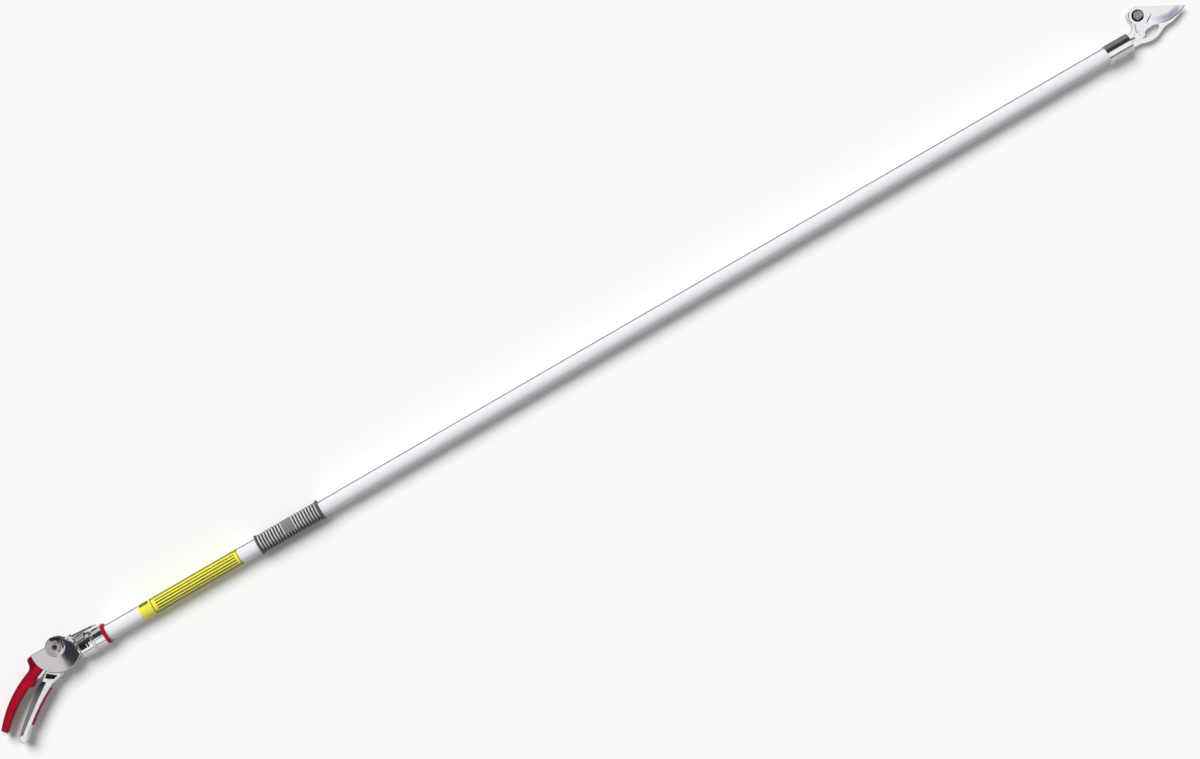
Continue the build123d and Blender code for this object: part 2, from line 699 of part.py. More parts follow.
def hand_grip():
    end = GRIP_START + GRIP_LENGTH
    bore = POLE_R + FIT
    flange = GRIP_FLANGE_OD / 2
    groove = GRIP_GROOVE_OD / 2
    rib = GRIP_RIB_OD / 2
    points = [(GRIP_START, bore), (GRIP_START, flange), (GRIP_START + GRIP_FLANGE_WIDTH, flange)]
    pitch = (GRIP_LENGTH - 2 * GRIP_FLANGE_WIDTH) / GRIP_RIBS
    for i in range(GRIP_RIBS):
        left = GRIP_START + GRIP_FLANGE_WIDTH + i * pitch
        points.append((left, groove))
        points.append((left + pitch / 2, rib))
    points += [(end - GRIP_FLANGE_WIDTH, groove), (end - GRIP_FLANGE_WIDTH, flange)]
    points += [(end, flange), (end, bore)]
    middle = (GRIP_START + end) / 2
    half = GRIP_PAD_LENGTH / 2
    turns = [math.radians(angle) for angle in GRIP_PAD_ANGLES]
    sector = polygon((0, 0), *[(2 * rib * math.sin(turn), 2 * rib * math.cos(turn)) for turn in turns])
    wedge = extrude(Plane.YZ.offset(middle - half) * sector, amount=GRIP_PAD_LENGTH)
    pad = tube_x(rib + GRIP_PAD_RISE, bore, middle - half, middle + half) & wedge
    return turned(*points) + pad


def pole_socket():
    sleeve = SOCKET_SLEEVE_OD / 2
    outer = SOCKET_OD / 2
    bore = POLE_R + FIT
    body = turned(
        (SOCKET_BACK, SPINDLE_R + FIT),
        (SOCKET_BACK, sleeve),
        (SOCKET_SHOULDER, sleeve),
        (SOCKET_SHOULDER, outer - EDGE_BEVEL),
        (SOCKET_SHOULDER + EDGE_BEVEL, outer),
        (SOCKET_FACE, outer),
        (SOCKET_FACE, bore),
        (SOCKET_STEP, bore),
        (SOCKET_STEP, SPINDLE_R + FIT),
    )
    return body


def index_ring():
    ring = tube_x(RING_OD / 2, SOCKET_SLEEVE_OD / 2 + FIT, RING_BACK, RING_FRONT)
    ring = chamfer(outer_rims(ring, RING_OD / 2), EDGE_BEVEL)
    start = RING_BACK + NOTCH_SETBACK
    slit = start + NOTCH_LENGTH + NOTCH_BRIDGE
    half = NOTCH_WIDTH / 2
    for i in range(RING_NOTCHES):
        turn = Rot(360 / RING_NOTCHES * i, 0, 0)
        ring -= turn * block(start, start + NOTCH_LENGTH, 0, RING_OD, -half, half)
        ring -= turn * block(slit, slit + SLIT_LENGTH, 0, RING_OD, -half, half)
    return ring


def socket_collar():
    ring = tube_x(COLLAR_OD / 2, POLE_R + FIT, SOCKET_FACE, 0)
    return chamfer(outer_rims(ring, COLLAR_OD / 2), COLLAR_BEVEL)


# Head socket, clamp bar and plug
CLAMP_SCREWS_X = (POLE_REACH + 10.0, HEAD_END - 8.0)


def clamp_screw_holes():
    bottom = -HEAD_SOCKET_OD
    holes = [pin_y(x, 0, CLAMP_SCREW_R + FIT, bottom, -PLUG_BORE_R - 1.4) for x in CLAMP_SCREWS_X]
    return holes[0] + holes[1]


def head_socket():
    sleeve = tube_x(HEAD_SOCKET_OD / 2, POLE_R + FIT, POLE_REACH, HEAD_END)
    return chamfer(outer_rims(sleeve, HEAD_SOCKET_OD / 2), 0.5) - clamp_screw_holes()


def head_clamp_bar():
    inner = HEAD_SOCKET_OD / 2 + FIT
    outer = inner + CLAMP_THICK
    bar = tube_x(outer, inner, POLE_REACH + 0.5, HEAD_END - 0.5)
    bar &= block(POLE_REACH, HEAD_END, -2 * outer, CLAMP_EDGE_Y, -2 * outer, 2 * outer)
    middle = (POLE_REACH + HEAD_END) / 2
    half = CLAMP_NOTCH / 2
    notch = block(middle - half, middle + half, -2 * outer, -inner, -2 * outer, 2 * outer)
    return bar - notch - clamp_screw_holes()


def clamp_screws():
    seat = -(HEAD_SOCKET_OD / 2 + FIT + CLAMP_THICK)
    screws = []
    for x in CLAMP_SCREWS_X:
        head = pin_y(x, 0, CLAMP_SCREW_HEAD_R, seat - CLAMP_SCREW_HEAD, seat)
        screws.append(head + pin_y(x, 0, CLAMP_SCREW_R, seat, -PLUG_BORE_R - 1.5))
    return Compound(children=screws)


def head_plug():
    plug = bar_x(POLE_BORE_R - FIT, HEAD_END - PLUG_LENGTH, HEAD_END)
    plug += bar_x(POLE_R, PLUG_COLLAR_X, HEAD_END)
    plug -= bar_x(PLUG_BORE_R, HEAD_END - PLUG_LENGTH, HEAD_END)
    slit = TANG_HALF + FIT
    plug -= block(PLUG_COLLAR_X, HEAD_END, -slit, slit, HOOK_BOTTOM - FIT, HOOK_TOP + FIT)
    plug -= tang_pin(TANG_PIN_R + FIT)
    return plug - clamp_screw_holes()


def tang_pin(radius):
    z = (HOOK_TOP + HOOK_BOTTOM) / 2
    half = math.sqrt(POLE_R**2 - (abs(z) + TANG_PIN_R + FIT) ** 2)
    return pin_y(HEAD_END - PLUG_COLLAR_LENGTH / 2, z, radius, -half, half)


# Hook: the fixed jaw, with a window below the pivot and a tang in the plug
def hook():
    x0 = HEAD_END + PLAY
    tip = (HEAD_X + 62.2, 5.2)
    body = outline(
        Polyline((x0, -9.2), (HEAD_X - 12.4, -9.9)),
        ThreePointArc((HEAD_X - 12.4, -9.9), (HEAD_X + 4.0, -12.9), (HEAD_X + 18.4, -8.6)),
        ThreePointArc((HEAD_X + 18.4, -8.6), (HEAD_X + 26.0, -5.6), (HEAD_X + 35.2, -4.9)),
        ThreePointArc((HEAD_X + 35.2, -4.9), (HEAD_X + 48.0, -1.6), tip),
        ThreePointArc(tip, (HEAD_X + 40.0, 3.0), (HEAD_X + 20.0, 8.0)),
        Polyline((HEAD_X + 20.0, 8.0), (HEAD_X + 11.0, HEAD_Y - 3.0)),
        ThreePointArc((HEAD_X + 11.0, HEAD_Y - 3.0), (HEAD_X + 8.5, HEAD_Y + 7.6), (HEAD_X, HEAD_Y + 11.4)),
        Polyline(
            (HEAD_X, HEAD_Y + 11.4),
            (HEAD_X - 13.6, HEAD_Y + 8.4),
            (HEAD_X - 11.9, HEAD_Y - 1.2),
            (HEAD_X - 12.4, 15.4),
            (HEAD_X - 20.0, 9.2),
            (x0, 8.8),
            (x0, -9.2),
        ),
    )
    window = outline(
        ThreePointArc((HEAD_X - 8.6, -4.9), (HEAD_X - 2.0, 1.2), (HEAD_X + 7.0, 3.4)),
        ThreePointArc((HEAD_X + 7.0, 3.4), (HEAD_X + 14.0, 3.6), (HEAD_X + 19.0, 1.5)),
        Line((HEAD_X + 19.0, 1.5), (HEAD_X + 19.0, -1.8)),
        ThreePointArc((HEAD_X + 19.0, -1.8), (HEAD_X + 5.0, -6.6), (HEAD_X - 8.6, -4.9)),
    )
    body -= round_corners(window, {(HEAD_X + 19.0, 1.5): 1.4, (HEAD_X + 19.0, -1.8): 1.4})
    body = round_corners(body, {
        (HEAD_X - 13.6, HEAD_Y + 8.4): 2.0, (HEAD_X - 12.4, 15.4): 3.0, (HEAD_X - 20.0, 9.2): 4.0,
        (HEAD_X + 20.0, 8.0): 3.0,
    })
    solid = slab(body, HOOK_BOTTOM, HOOK_TOP)
    solid += block(PLUG_COLLAR_X + FIT, x0, -TANG_HALF, TANG_HALF, HOOK_BOTTOM, HOOK_TOP)
    solid -= pin_z(HEAD_X, HEAD_Y, HEAD_BOLT_R + FIT, HOOK_BOTTOM, HOOK_TOP)
    return solid - tang_pin(TANG_PIN_R + FIT)


# Blade: a hollow-ground cutting blade with a tail arm for the link pin
def blade():
    tip = (HEAD_X + 62.7, 5.6)
    edge_x = HEAD_X + 37.2
    edge_y = tip[1] + math.sqrt(BLADE_EDGE_R**2 - (tip[0] - edge_x) ** 2)
    heel_x = HEAD_X + 8.7
    heel = (heel_x, edge_y - math.sqrt(BLADE_EDGE_R**2 - (heel_x - edge_x) ** 2))
    body = outline(
        ThreePointArc(heel, (edge_x, edge_y - BLADE_EDGE_R), tip),
        Polyline(tip, (HEAD_X + 2.5, HEAD_Y + 12.4), (HEAD_X - 8.0, HEAD_Y + 7.0),
                 (HEAD_X - 8.0, HEAD_Y - 8.0), (HEAD_X + 4.5, 11.5), heel),
    )
    body += Pos(HEAD_X, HEAD_Y) * Circle(11.8)
    body += Pos(LINK_X, LINK_Y) * Circle(ARM_R)
    along = (math.sin(math.radians(LINK_ANGLE)), math.cos(math.radians(LINK_ANGLE)))
    side = (along[1] * ARM_R, -along[0] * ARM_R)
    body += polygon(
        (LINK_X + side[0], LINK_Y + side[1]),
        (HEAD_X + side[0], HEAD_Y + side[1]),
        (HEAD_X - side[0], HEAD_Y - side[1]),
        (LINK_X - side[0], LINK_Y - side[1]),
    )
    solid = slab(body, BLADE_BOTTOM, BLADE_TOP)
    ground = revolve(
        Plane.XZ * polygon(
            (BLADE_EDGE_R + 1, BLADE_BOTTOM + BLADE_EDGE_LAND),
            (BLADE_EDGE_R, BLADE_BOTTOM + BLADE_EDGE_LAND),
            (BLADE_EDGE_R - BLADE_BEVEL, BLADE_TOP),
            (BLADE_EDGE_R - BLADE_BEVEL, BLADE_TOP + 1),
            (BLADE_EDGE_R + 1, BLADE_TOP + 1),
        ),
        axis=Axis.Z,
    )
    shoulder = polygon(
        (HEAD_X + 9.4, 10.2),
        (HEAD_X + 20.5, 21.0),
        (HEAD_X + 40.0, 40.0),
        (HEAD_X + 80.0, 40.0),
        (HEAD_X + 80.0, -20.0),
        (HEAD_X + 9.4, -20.0),
    )
    solid -= Pos(edge_x, edge_y, 0) * ground & slab(shoulder, BLADE_BOTTOM, BLADE_TOP + 1)
    solid -= pin_z(HEAD_X, HEAD_Y, HEAD_BOLT_R + FIT, BLADE_BOTTOM, BLADE_TOP)
    return solid - pin_z(LINK_X, LINK_Y, LINK_PIN_R + FIT, BLADE_BOTTOM, BLADE_TOP)


def blade_link_pin():
    head = EYE_TOP + LINK_PLAY
    shank = pin_z(LINK_X, LINK_Y, LINK_PIN_R, BLADE_BOTTOM + FIT, head)
    return shank + pin_z(LINK_X, LINK_Y, LINK_HEAD_R, head, head + LINK_HEAD)


def at_head_pivot(sketch):
    return Pos(HEAD_X, HEAD_Y) * Rot(0, 0, WASHER_TAB_ANGLE) * sketch


def head_pivot_washer():
    seat = BLADE_TOP + PLAY
    ring = Circle(WASHER_R) - Circle(HEAD_BOLT_R + FIT)
    washer = slab(at_head_pivot(ring), seat, seat + WASHER_THICK)
    tab = Circle(WASHER_R) & (Pos(WASHER_TAB_IN + WASHER_R / 2, 0) * Rectangle(WASHER_R, WASHER_TAB_WIDTH))
    return washer + slab(at_head_pivot(tab), seat, seat + WASHER_THICK + WASHER_TAB_RISE)


def head_pivot_bolt():
    seat = BLADE_TOP + PLAY + WASHER_THICK
    head = pin_z(HEAD_X, HEAD_Y, HEAD_BOLT_CAP_R, seat, seat + HEAD_BOLT_CAP)
    head = chamfer(head.faces().sort_by(Axis.Z)[-1].edges(), HEAD_BOLT_BEVEL)
    beside_tab = Pos(WASHER_TAB_IN - FIT + WASHER_R, 0) * Rectangle(2 * WASHER_R, 2 * WASHER_R)
    head -= slab(at_head_pivot(beside_tab), seat, seat + HEAD_BOLT_CAP)
    return head + pin_z(HEAD_X, HEAD_Y, HEAD_BOLT_R, HOOK_BOTTOM - HEAD_NUT_THICK - HEAD_BOLT_BEVEL, seat)


def head_pivot_nut():
    nut = RegularPolygon(HEAD_NUT_AF / 2, 6, major_radius=False) - Circle(HEAD_BOLT_R + FIT)
    return slab(Pos(HEAD_X, HEAD_Y) * nut, HOOK_BOTTOM - HEAD_NUT_THICK, HOOK_BOTTOM)


# Every piece by its node name
NEAR_PLATE = side_plate()
PIECES = {
    "side_plate_near": NEAR_PLATE,
    "side_plate_far": mirror(NEAR_PLATE, about=Plane.XY),
    "plate_dowels": Compound(children=dowels(DOWEL_R, DOWEL_COVER + FIT)),
    "handle_core": handle_core(),
    "rear_grip": rear_grip(),
    "trigger_pivot_bolt": trigger_pivot_bolt(),
    "trigger_pivot_nut": trigger_pivot_nut(),
    "neck": neck(),
    "spindle_clip": spindle_clip(),
    "index_lever_pin": index_lever_pin(),
    "index_lever_spring": index_lever_spring(),
    "index_lever": index_lever(),
    "trigger": trigger(),
    "trigger_pad": trigger_pad(),
    "trigger_rod_pin": pin_z(ROD_PIN_X, ROD_PIN_Y, ROD_PIN_R, PLAY - PLATE_IN, PLATE_IN - PLAY),
    "rod_yoke": rod_yoke(),
    "rod_swivel": rod_swivel(),
    "return_spring": return_spring(),
    "pull_rod": pull_rod(),
    "rod_guides": rod_guides(),
    "rod_eye": rod_eye(),
    "pole_tube": pole_tube(),
    "label_band": label_band(),
    "hand_grip": hand_grip(),
    "pole_socket": pole_socket(),
    "index_ring": index_ring(),
    "socket_collar": socket_collar(),
    "head_socket": head_socket(),
    "head_clamp_bar": head_clamp_bar(),
    "clamp_screws": clamp_screws(),
    "head_plug": head_plug(),
    "hook": hook(),
    "hook_tang_pin": tang_pin(TANG_PIN_R),
    "head_pivot_bolt": head_pivot_bolt(),
    "head_pivot_washer": head_pivot_washer(),
    "head_pivot_nut": head_pivot_nut(),
    "blade": blade(),
    "blade_link_pin": blade_link_pin(),
}

# The origin is the middle of the whole tool's box, on the surface it lies on
BOX = Compound(children=[Compound(piece.wrapped) for piece in PIECES.values()]).bounding_box()
ORIGIN = (-BOX.center().X, -BOX.center().Y, -BOX.min.Z)

os.makedirs("parts", exist_ok=True)
for name, piece in PIECES.items():
    export_step(Pos(*ORIGIN) * piece, f"parts/{name}.step")
print("origin shift", ORIGIN, "size", BOX.size)
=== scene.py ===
import json
import math

import bmesh
import bpy
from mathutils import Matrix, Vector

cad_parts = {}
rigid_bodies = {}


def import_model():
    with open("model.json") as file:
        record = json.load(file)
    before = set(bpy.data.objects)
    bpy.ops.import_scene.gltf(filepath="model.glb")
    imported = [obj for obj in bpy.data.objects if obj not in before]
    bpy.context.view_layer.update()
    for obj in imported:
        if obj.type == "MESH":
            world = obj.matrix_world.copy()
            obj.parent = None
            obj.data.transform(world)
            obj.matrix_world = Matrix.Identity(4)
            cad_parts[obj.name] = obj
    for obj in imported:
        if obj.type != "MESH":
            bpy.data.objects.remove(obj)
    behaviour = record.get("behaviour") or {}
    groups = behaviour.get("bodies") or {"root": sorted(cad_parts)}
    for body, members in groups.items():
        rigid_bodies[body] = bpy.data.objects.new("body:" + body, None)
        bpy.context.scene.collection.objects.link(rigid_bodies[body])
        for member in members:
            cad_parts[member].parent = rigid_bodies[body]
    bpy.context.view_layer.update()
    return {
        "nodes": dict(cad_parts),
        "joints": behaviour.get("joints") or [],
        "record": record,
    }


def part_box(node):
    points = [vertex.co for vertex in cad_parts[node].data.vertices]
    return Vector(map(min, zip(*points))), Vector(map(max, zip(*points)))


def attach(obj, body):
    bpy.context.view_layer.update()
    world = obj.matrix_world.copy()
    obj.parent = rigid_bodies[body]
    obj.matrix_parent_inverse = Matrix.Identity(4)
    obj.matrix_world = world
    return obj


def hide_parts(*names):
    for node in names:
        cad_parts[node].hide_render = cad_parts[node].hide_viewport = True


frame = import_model()
nodes = frame["nodes"]
mm = 0.001
poleLow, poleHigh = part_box("pole_tube")
poleY = (poleLow[1] + poleHigh[1]) / 2
poleZ = (poleLow[2] + poleHigh[2]) / 2
pivots = {joint["name"]: joint.get("pos_m") for joint in frame["joints"]}
handlePivot = pivots["trigger_squeeze"]
headPivot = pivots["blade_cut"]
print("frame loaded:", len(nodes), "nodes")


# selecting, editing and finishing by hand
weld = {"spun": 0.002, "copied": 0.001, "flat": 0.3}  # mm between doubles, degrees between flat faces


def choose(piece):
    bpy.ops.object.select_all(action="DESELECT")
    piece.select_set(True)
    bpy.context.view_layer.objects.active = piece


def startEdit(piece):
    choose(piece)
    bpy.ops.object.mode_set(mode="EDIT")
    bpy.ops.mesh.select_all(action="DESELECT")


def pickFaces(piece, test):
    bpy.ops.mesh.select_mode(type="FACE")
    bpy.ops.mesh.select_all(action="DESELECT")
    mesh = bmesh.from_edit_mesh(piece.data)
    for face in mesh.faces:
        face.select_set(test(face))
    mesh.select_flush_mode()
    bmesh.update_edit_mesh(piece.data)


def applyModifier(piece, kind, **settings):
    choose(piece)
    modifier = piece.modifiers.new(kind.lower(), kind)
    for key, value in settings.items():
        setattr(modifier, key, value)
    bpy.ops.object.modifier_apply(modifier=modifier.name)


def joinTo(piece, other):
    choose(piece)
    other.select_set(True)
    bpy.ops.object.join()


def smooth(piece, angle):
    choose(piece)
    bpy.ops.object.shade_smooth_by_angle(angle=math.radians(angle))


def breakEdges(piece, width, segments=2, angle=28):
    applyModifier(piece, "BEVEL", width=width * mm, segments=segments, limit_method="ANGLE",
                  angle_limit=math.radians(angle), miter_outer="MITER_ARC")


def drawProfile(name, points):
    # a plane drawn together to one corner, and that corner extruded from point to point
    bpy.ops.object.select_all(action="DESELECT")
    bpy.ops.mesh.primitive_plane_add(size=mm, location=(0, 0, 0))
    piece = bpy.context.object
    piece.name = name
    bpy.ops.object.mode_set(mode="EDIT")
    bpy.ops.mesh.select_mode(type="VERT")
    bpy.ops.mesh.select_all(action="SELECT")
    bpy.ops.mesh.merge(type="CENTER")
    bpy.ops.transform.translate(value=points[0])
    for before, after in zip(points, points[1:]):
        step = [b - a for a, b in zip(before, after)]
        bpy.ops.mesh.extrude_vertices_move(TRANSFORM_OT_translate={"value": step})
    return piece


def spinProfile(steps, sweep, centre, axis):
    bpy.ops.mesh.select_all(action="SELECT")
    bpy.ops.mesh.spin(steps=steps, angle=sweep, center=centre, axis=axis)
    bpy.ops.mesh.select_all(action="SELECT")
    bpy.ops.mesh.remove_doubles(threshold=weld["spun"] * mm)
    bpy.ops.mesh.select_all(action="SELECT")
    bpy.ops.mesh.fill_holes(sides=0)
    bpy.ops.mesh.select_all(action="SELECT")
    bpy.ops.mesh.normals_make_consistent(inside=False)
    bpy.ops.object.mode_set(mode="OBJECT")


def lathe(name, profile, steps, start=0.0, sweep=math.tau):
    # a profile of (place along the pole, radius), spun from a turn off the upper side towards +Y
    sideways, upwards = math.sin(start), math.cos(start)
    piece = drawProfile(name, [(x, poleY + r * sideways, poleZ + r * upwards) for x, r in profile])
    spinProfile(steps, sweep, (0, poleY, poleZ), (1, 0, 0))
    return piece


def turnOnPivot(name, pivot, profile, steps):
    # a closed profile of (radius, height off the pole's middle) in mm, spun round an upright pivot
    piece = drawProfile(name, [(pivot[0] + r * mm, pivot[1], poleZ + h * mm) for r, h in profile])
    spinProfile(steps, math.tau, (pivot[0], pivot[1], 0), (0, 0, 1))
    return piece


def fairedCopy(node, name):
    # the CAD piece's own shape as one clean mesh, to be worked on further
    piece = bpy.data.objects.new(name, nodes[node].data.copy())
    bpy.context.scene.collection.objects.link(piece)
    piece.data.materials.clear()
    startEdit(piece)
    bpy.ops.mesh.select_all(action="SELECT")
    bpy.ops.mesh.remove_doubles(threshold=weld["copied"] * mm)
    bpy.ops.mesh.customdata_custom_splitnormals_clear()
    bpy.ops.mesh.dissolve_limited(angle_limit=math.radians(weld["flat"]))
    bpy.ops.object.mode_set(mode="OBJECT")
    return piece


def finishPiece(piece, body, slot, finish, *stoodFor):
    piece.data.materials.clear()
    piece.data.materials.append(finish.material)
    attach(piece, body)
    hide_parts(*stoodFor)


def secondFinish(piece, finish, test, spread=0):
    # another finish on some faces, and on the faces round them as many rows out as spread says
    piece.data.materials.append(finish.material)
    startEdit(piece)
    pickFaces(piece, test)
    for row in range(spread):
        bpy.ops.mesh.select_more(use_face_step=True)
    piece.active_material_index = len(piece.data.materials) - 1
    bpy.ops.object.material_slot_assign()
    bpy.ops.object.mode_set(mode="OBJECT")


# finishes: a socket that takes part in sums, and a material that makes its nodes
class Wire:
    def __init__(self, finish, socket):
        self.finish = finish
        self.socket = socket

    def maths(self, operation, first, second):
        return self.finish.node("ShaderNodeMath", {"operation": operation}, {0: first, 1: second})

    def __add__(self, other):
        return self.maths("ADD", self, other)

    def __sub__(self, other):
        return self.maths("SUBTRACT", self, other)

    def __rsub__(self, other):
        return self.maths("SUBTRACT", other, self)

    def __mul__(self, other):
        return self.maths("MULTIPLY", self, other)

    def __truediv__(self, other):
        return self.maths("DIVIDE", self, other)

    def __pow__(self, other):
        return self.maths("POWER", self, other)

    def __gt__(self, other):
        return self.maths("GREATER_THAN", self, other)

    def __lt__(self, other):
        return self.maths("LESS_THAN", self, other)

    __radd__ = __add__
    __rmul__ = __mul__


class NodeTree:
    def __init__(self, holder):
        holder.use_nodes = True
        self.tree = holder.node_tree

    def feed(self, socket, value):
        if isinstance(value, Wire):
            self.tree.links.new(value.socket, socket)
        else:
            socket.default_value = value

    def node(self, kind, settings, sockets, output=0):
        made = self.tree.nodes.new(kind)
        for key, value in settings.items():
            if key == "stops":
                for spot, color in value[1:-1]:
                    made.color_ramp.elements.new(spot).color = color
                for element, (spot, color) in zip(made.color_ramp.elements, value):
                    element.position = spot
                    element.color = color
            else:
                setattr(made, key, value)
        for key, value in sockets.items():
            self.feed(made.inputs[key], value)
        return Wire(self, made.outputs[output])

    def split(self, vector):
        parts = self.node("ShaderNodeSeparateXYZ", {}, {0: vector})
        outputs = parts.socket.node.outputs
        return [Wire(self, outputs[i]) for i in range(3)]

    def mix(self, factor, first, second):
        # by number, because a Mix node has a socket of each name for every kind of data
        return self.node("ShaderNodeMix", {"data_type": "RGBA"}, {0: factor, 6: first, 7: second}, 2)

    def angle(self, side, up):
        # degrees from upright, towards the side
        turn = self.node("ShaderNodeMath", {"operation": "ARCTAN2"}, {0: side, 1: up})
        return turn * (180 / math.pi)

    def positive(self, value):
        return self.node("ShaderNodeMath", {"operation": "ABSOLUTE"}, {0: value})

    def ramp(self, value, low, high):
        return self.node("ShaderNodeMapRange", {"interpolation_type": "SMOOTHSTEP"}, {
            "Value": value, "From Min": low, "From Max": high})

    def between(self, value, low, full, fading, gone):
        # up from low to full, and down again from fading to gone
        return self.ramp(value, low, full) * (1 - self.ramp(value, fading, gone))


noiseBand = (0.3, 0.7)  # where nearly all of a noise's values lie


class Finish(NodeTree):
    def __init__(self, name, color, roughness, metallic=0.0, **sockets):
        self.material = bpy.data.materials.new(name)
        super().__init__(self.material)
        self.shader = self.tree.nodes["Principled BSDF"]
        self.shade("Base Color", color)
        self.shade("Roughness", roughness)
        self.shade("Metallic", metallic)
        for key, value in sockets.items():
            self.shade(key.replace("_", " "), value)
        self.place = self.node("ShaderNodeTexCoord", {}, {}, "Object")

    def mapped(self, scale=(1, 1, 1), shift=(0, 0, 0)):
        return self.node("ShaderNodeMapping", {}, {
            "Vector": self.place, "Scale": scale, "Location": shift})

    def grain(self, scale, stretch=(1, 1, 1), detail=3.0):
        return self.node("ShaderNodeTexNoise", {}, {
            "Vector": self.mapped(stretch), "Scale": scale, "Detail": detail})

    def around(self, centreX, centreY):
        # distance from an upright axis, for turned and circular-brushed faces
        x, y, z = self.split(self.mapped(shift=(-centreX, -centreY, 0)))
        return (x * x + y * y) ** 0.5

    def rings(self, radius, count, detail):
        # marks that run round a centre
        return self.node("ShaderNodeTexNoise", {"noise_dimensions": "1D"}, {
            "W": radius * count, "Scale": 1.0, "Detail": detail})

    def spread(self, value, low, high):
        # a noise stretched to run from low to high
        return self.node("ShaderNodeMapRange", {}, {
            "Value": value, "From Min": noiseBand[0], "From Max": noiseBand[1],
            "To Min": low, "To Max": high})

    def shade(self, socket, value):
        self.feed(self.shader.inputs[socket], value)

    def bump(self, height, strength, distance):
        made = self.node("ShaderNodeBump", {}, {
            "Height": height, "Strength": strength, "Distance": distance * mm})
        self.feed(self.shader.inputs["Normal"], made)


def grey(value):
    return (value, value, value, 1.0)


def rgb(red, green, blue):
    # a colour as a screen shows it, 0 to 255, made linear
    parts = [value / 255 for value in (red, green, blue)]
    return tuple(p / 12.92 if p < 0.0405 else ((p + 0.055) / 1.055) ** 2.4 for p in parts) + (1.0,)


# low and high are the roughness that a finish runs between, and a dent or depth is in mm
polish = {"grain": 220, "dent": 0.02, "strength": 0.08}


def polishedMetal(name, color, low, high, grain=polish["grain"], dent=polish["dent"]):
    finish = Finish(name, color, low, 1.0)
    cloud = finish.grain(grain)
    finish.shade("Roughness", finish.spread(cloud, low, high))
    finish.bump(cloud, polish["strength"], dent)
    return finish


turning = {
    "color": rgb(200, 194, 194), "low": 0.04, "high": 0.1,
    "lines": 5200,  # marks to a metre of radius
    "detail": 4.0,
    "depth": 0.0024,
    "cloud": 60,
    "shares": (0.7, 0.3),  # of the marks and of the cloud in the roughness
    "fall": 3.0,  # degrees that the face drops towards its rim
}


def turnedMetal(name, centre):
    # fine marks that run in rings round a pivot, on a face polished a little lower towards its rim
    low, high = turning["low"], turning["high"]
    finish = Finish(name, turning["color"], low, 1.0)
    radius = finish.around(centre[0], centre[1])
    marks = finish.rings(radius, turning["lines"], turning["detail"])
    cloud = finish.grain(turning["cloud"])
    ownShare, cloudShare = turning["shares"]
    finish.shade("Roughness", finish.spread(marks * ownShare + cloud * cloudShare, low, high))
    slope = radius * math.tan(math.radians(turning["fall"]))
    finish.bump(marks * (turning["depth"] * mm) - slope, 1.0, 1 / mm)
    return finish


drawing = {
    "lines": 900, "lineStretch": (0.004, 1, 1), "detail": 4.0,
    "cloud": 14, "cloudStretch": (0.4, 1, 1),
    "shares": (0.6, 0.4),  # of the lines and of the cloud in the roughness
    "depth": 0.02, "strength": 0.06,
}


def drawnMetal(name, color, low, high, metallic=1.0):
    # lengthwise die lines of a drawn or extruded piece
    finish = Finish(name, color, low, metallic)
    lines = finish.grain(drawing["lines"], drawing["lineStretch"], drawing["detail"])
    cloud = finish.grain(drawing["cloud"], drawing["cloudStretch"])
    lineShare, cloudShare = drawing["shares"]
    finish.shade("Roughness", finish.spread(lines * lineShare + cloud * cloudShare, low, high))
    finish.bump(lines, drawing["strength"], drawing["depth"])
    return finish


poleSkin = {
    "color": rgb(240, 241, 245), "low": 0.36, "high": 0.48, "metallic": 0.08,
    "line": (54.0, 58.0, 77.0, 81.0),  # degrees off the upper side where the painted shade line starts and ends
    "lineTone": rgb(140, 141, 140),
}


def edgeShadedPole():
    # the drawn tube, with a fine grey line of painted edge shade along its upper side
    color = poleSkin["color"]
    finish = drawnMetal("poleAluminium", color, poleSkin["low"], poleSkin["high"], poleSkin["metallic"])
    x, y, z = finish.split(finish.mapped(shift=(0, -poleY, -poleZ)))
    angle = finish.angle(y, z)
    # painted shade: the pole's upper edge darkened in its colour
    line = finish.between(angle, *poleSkin["line"])
    finish.shade("Base Color", finish.mix(line, color, poleSkin["lineTone"]))
    return finish


moulding = {
    "drift": 45, "driftShare": 0.5, "detail": 2.0,
    "smoother": 0.06, "rougher": 0.08,  # how far the skin's roughness strays each way
    "strength": 0.25,
}


def drifting(finish, color, deep):
    # a faint drift from one colour towards a deeper one
    drift = finish.grain(moulding["drift"], detail=moulding["detail"])
    return finish.mix(finish.spread(drift, 0.0, moulding["driftShare"]), color, deep)


def moulded(name, color, deep, roughness, pebble, dent, **sockets):
    # plastic, vinyl or rubber, with a fine pebbled skin
    finish = Finish(name, color, roughness, 0.0, **sockets)
    skin = finish.grain(pebble, detail=moulding["detail"])
    finish.shade("Base Color", drifting(finish, color, deep))
    low, high = roughness - moulding["smoother"], roughness + moulding["rougher"]
    finish.shade("Roughness", finish.spread(skin, low, high))
    finish.bump(skin, moulding["strength"], dent)
    return finish


rubber = {
    # groove is painted shade in the grooves, worn a random lighter wear tone, side the painted shade down
    # the ribs' sides, also used on the end rims
    "groove": rgb(20, 21, 22), "top": rgb(180, 183, 183), "worn": rgb(206, 209, 208),
    "pad": rgb(128, 131, 129), "side": rgb(92, 94, 95),
    "rise": (11.7, 12.9),  # mm off the pole's middle, from a groove up to a rib
    "padRise": (13.2, 13.3),
    "facing": 18.0,  # degrees off the upper side where the painted highlight on the ribs is brightest
    "fade": (30.0, 72.0),
    "rim": 3.4,
    "wear": 120, "wearDetail": 4.0,
    "skin": 1300, "skinDetail": 2.0, "depth": 0.04, "strength": 0.2,
    "low": 0.26, "high": 0.4, "gloss": 0.4,
}


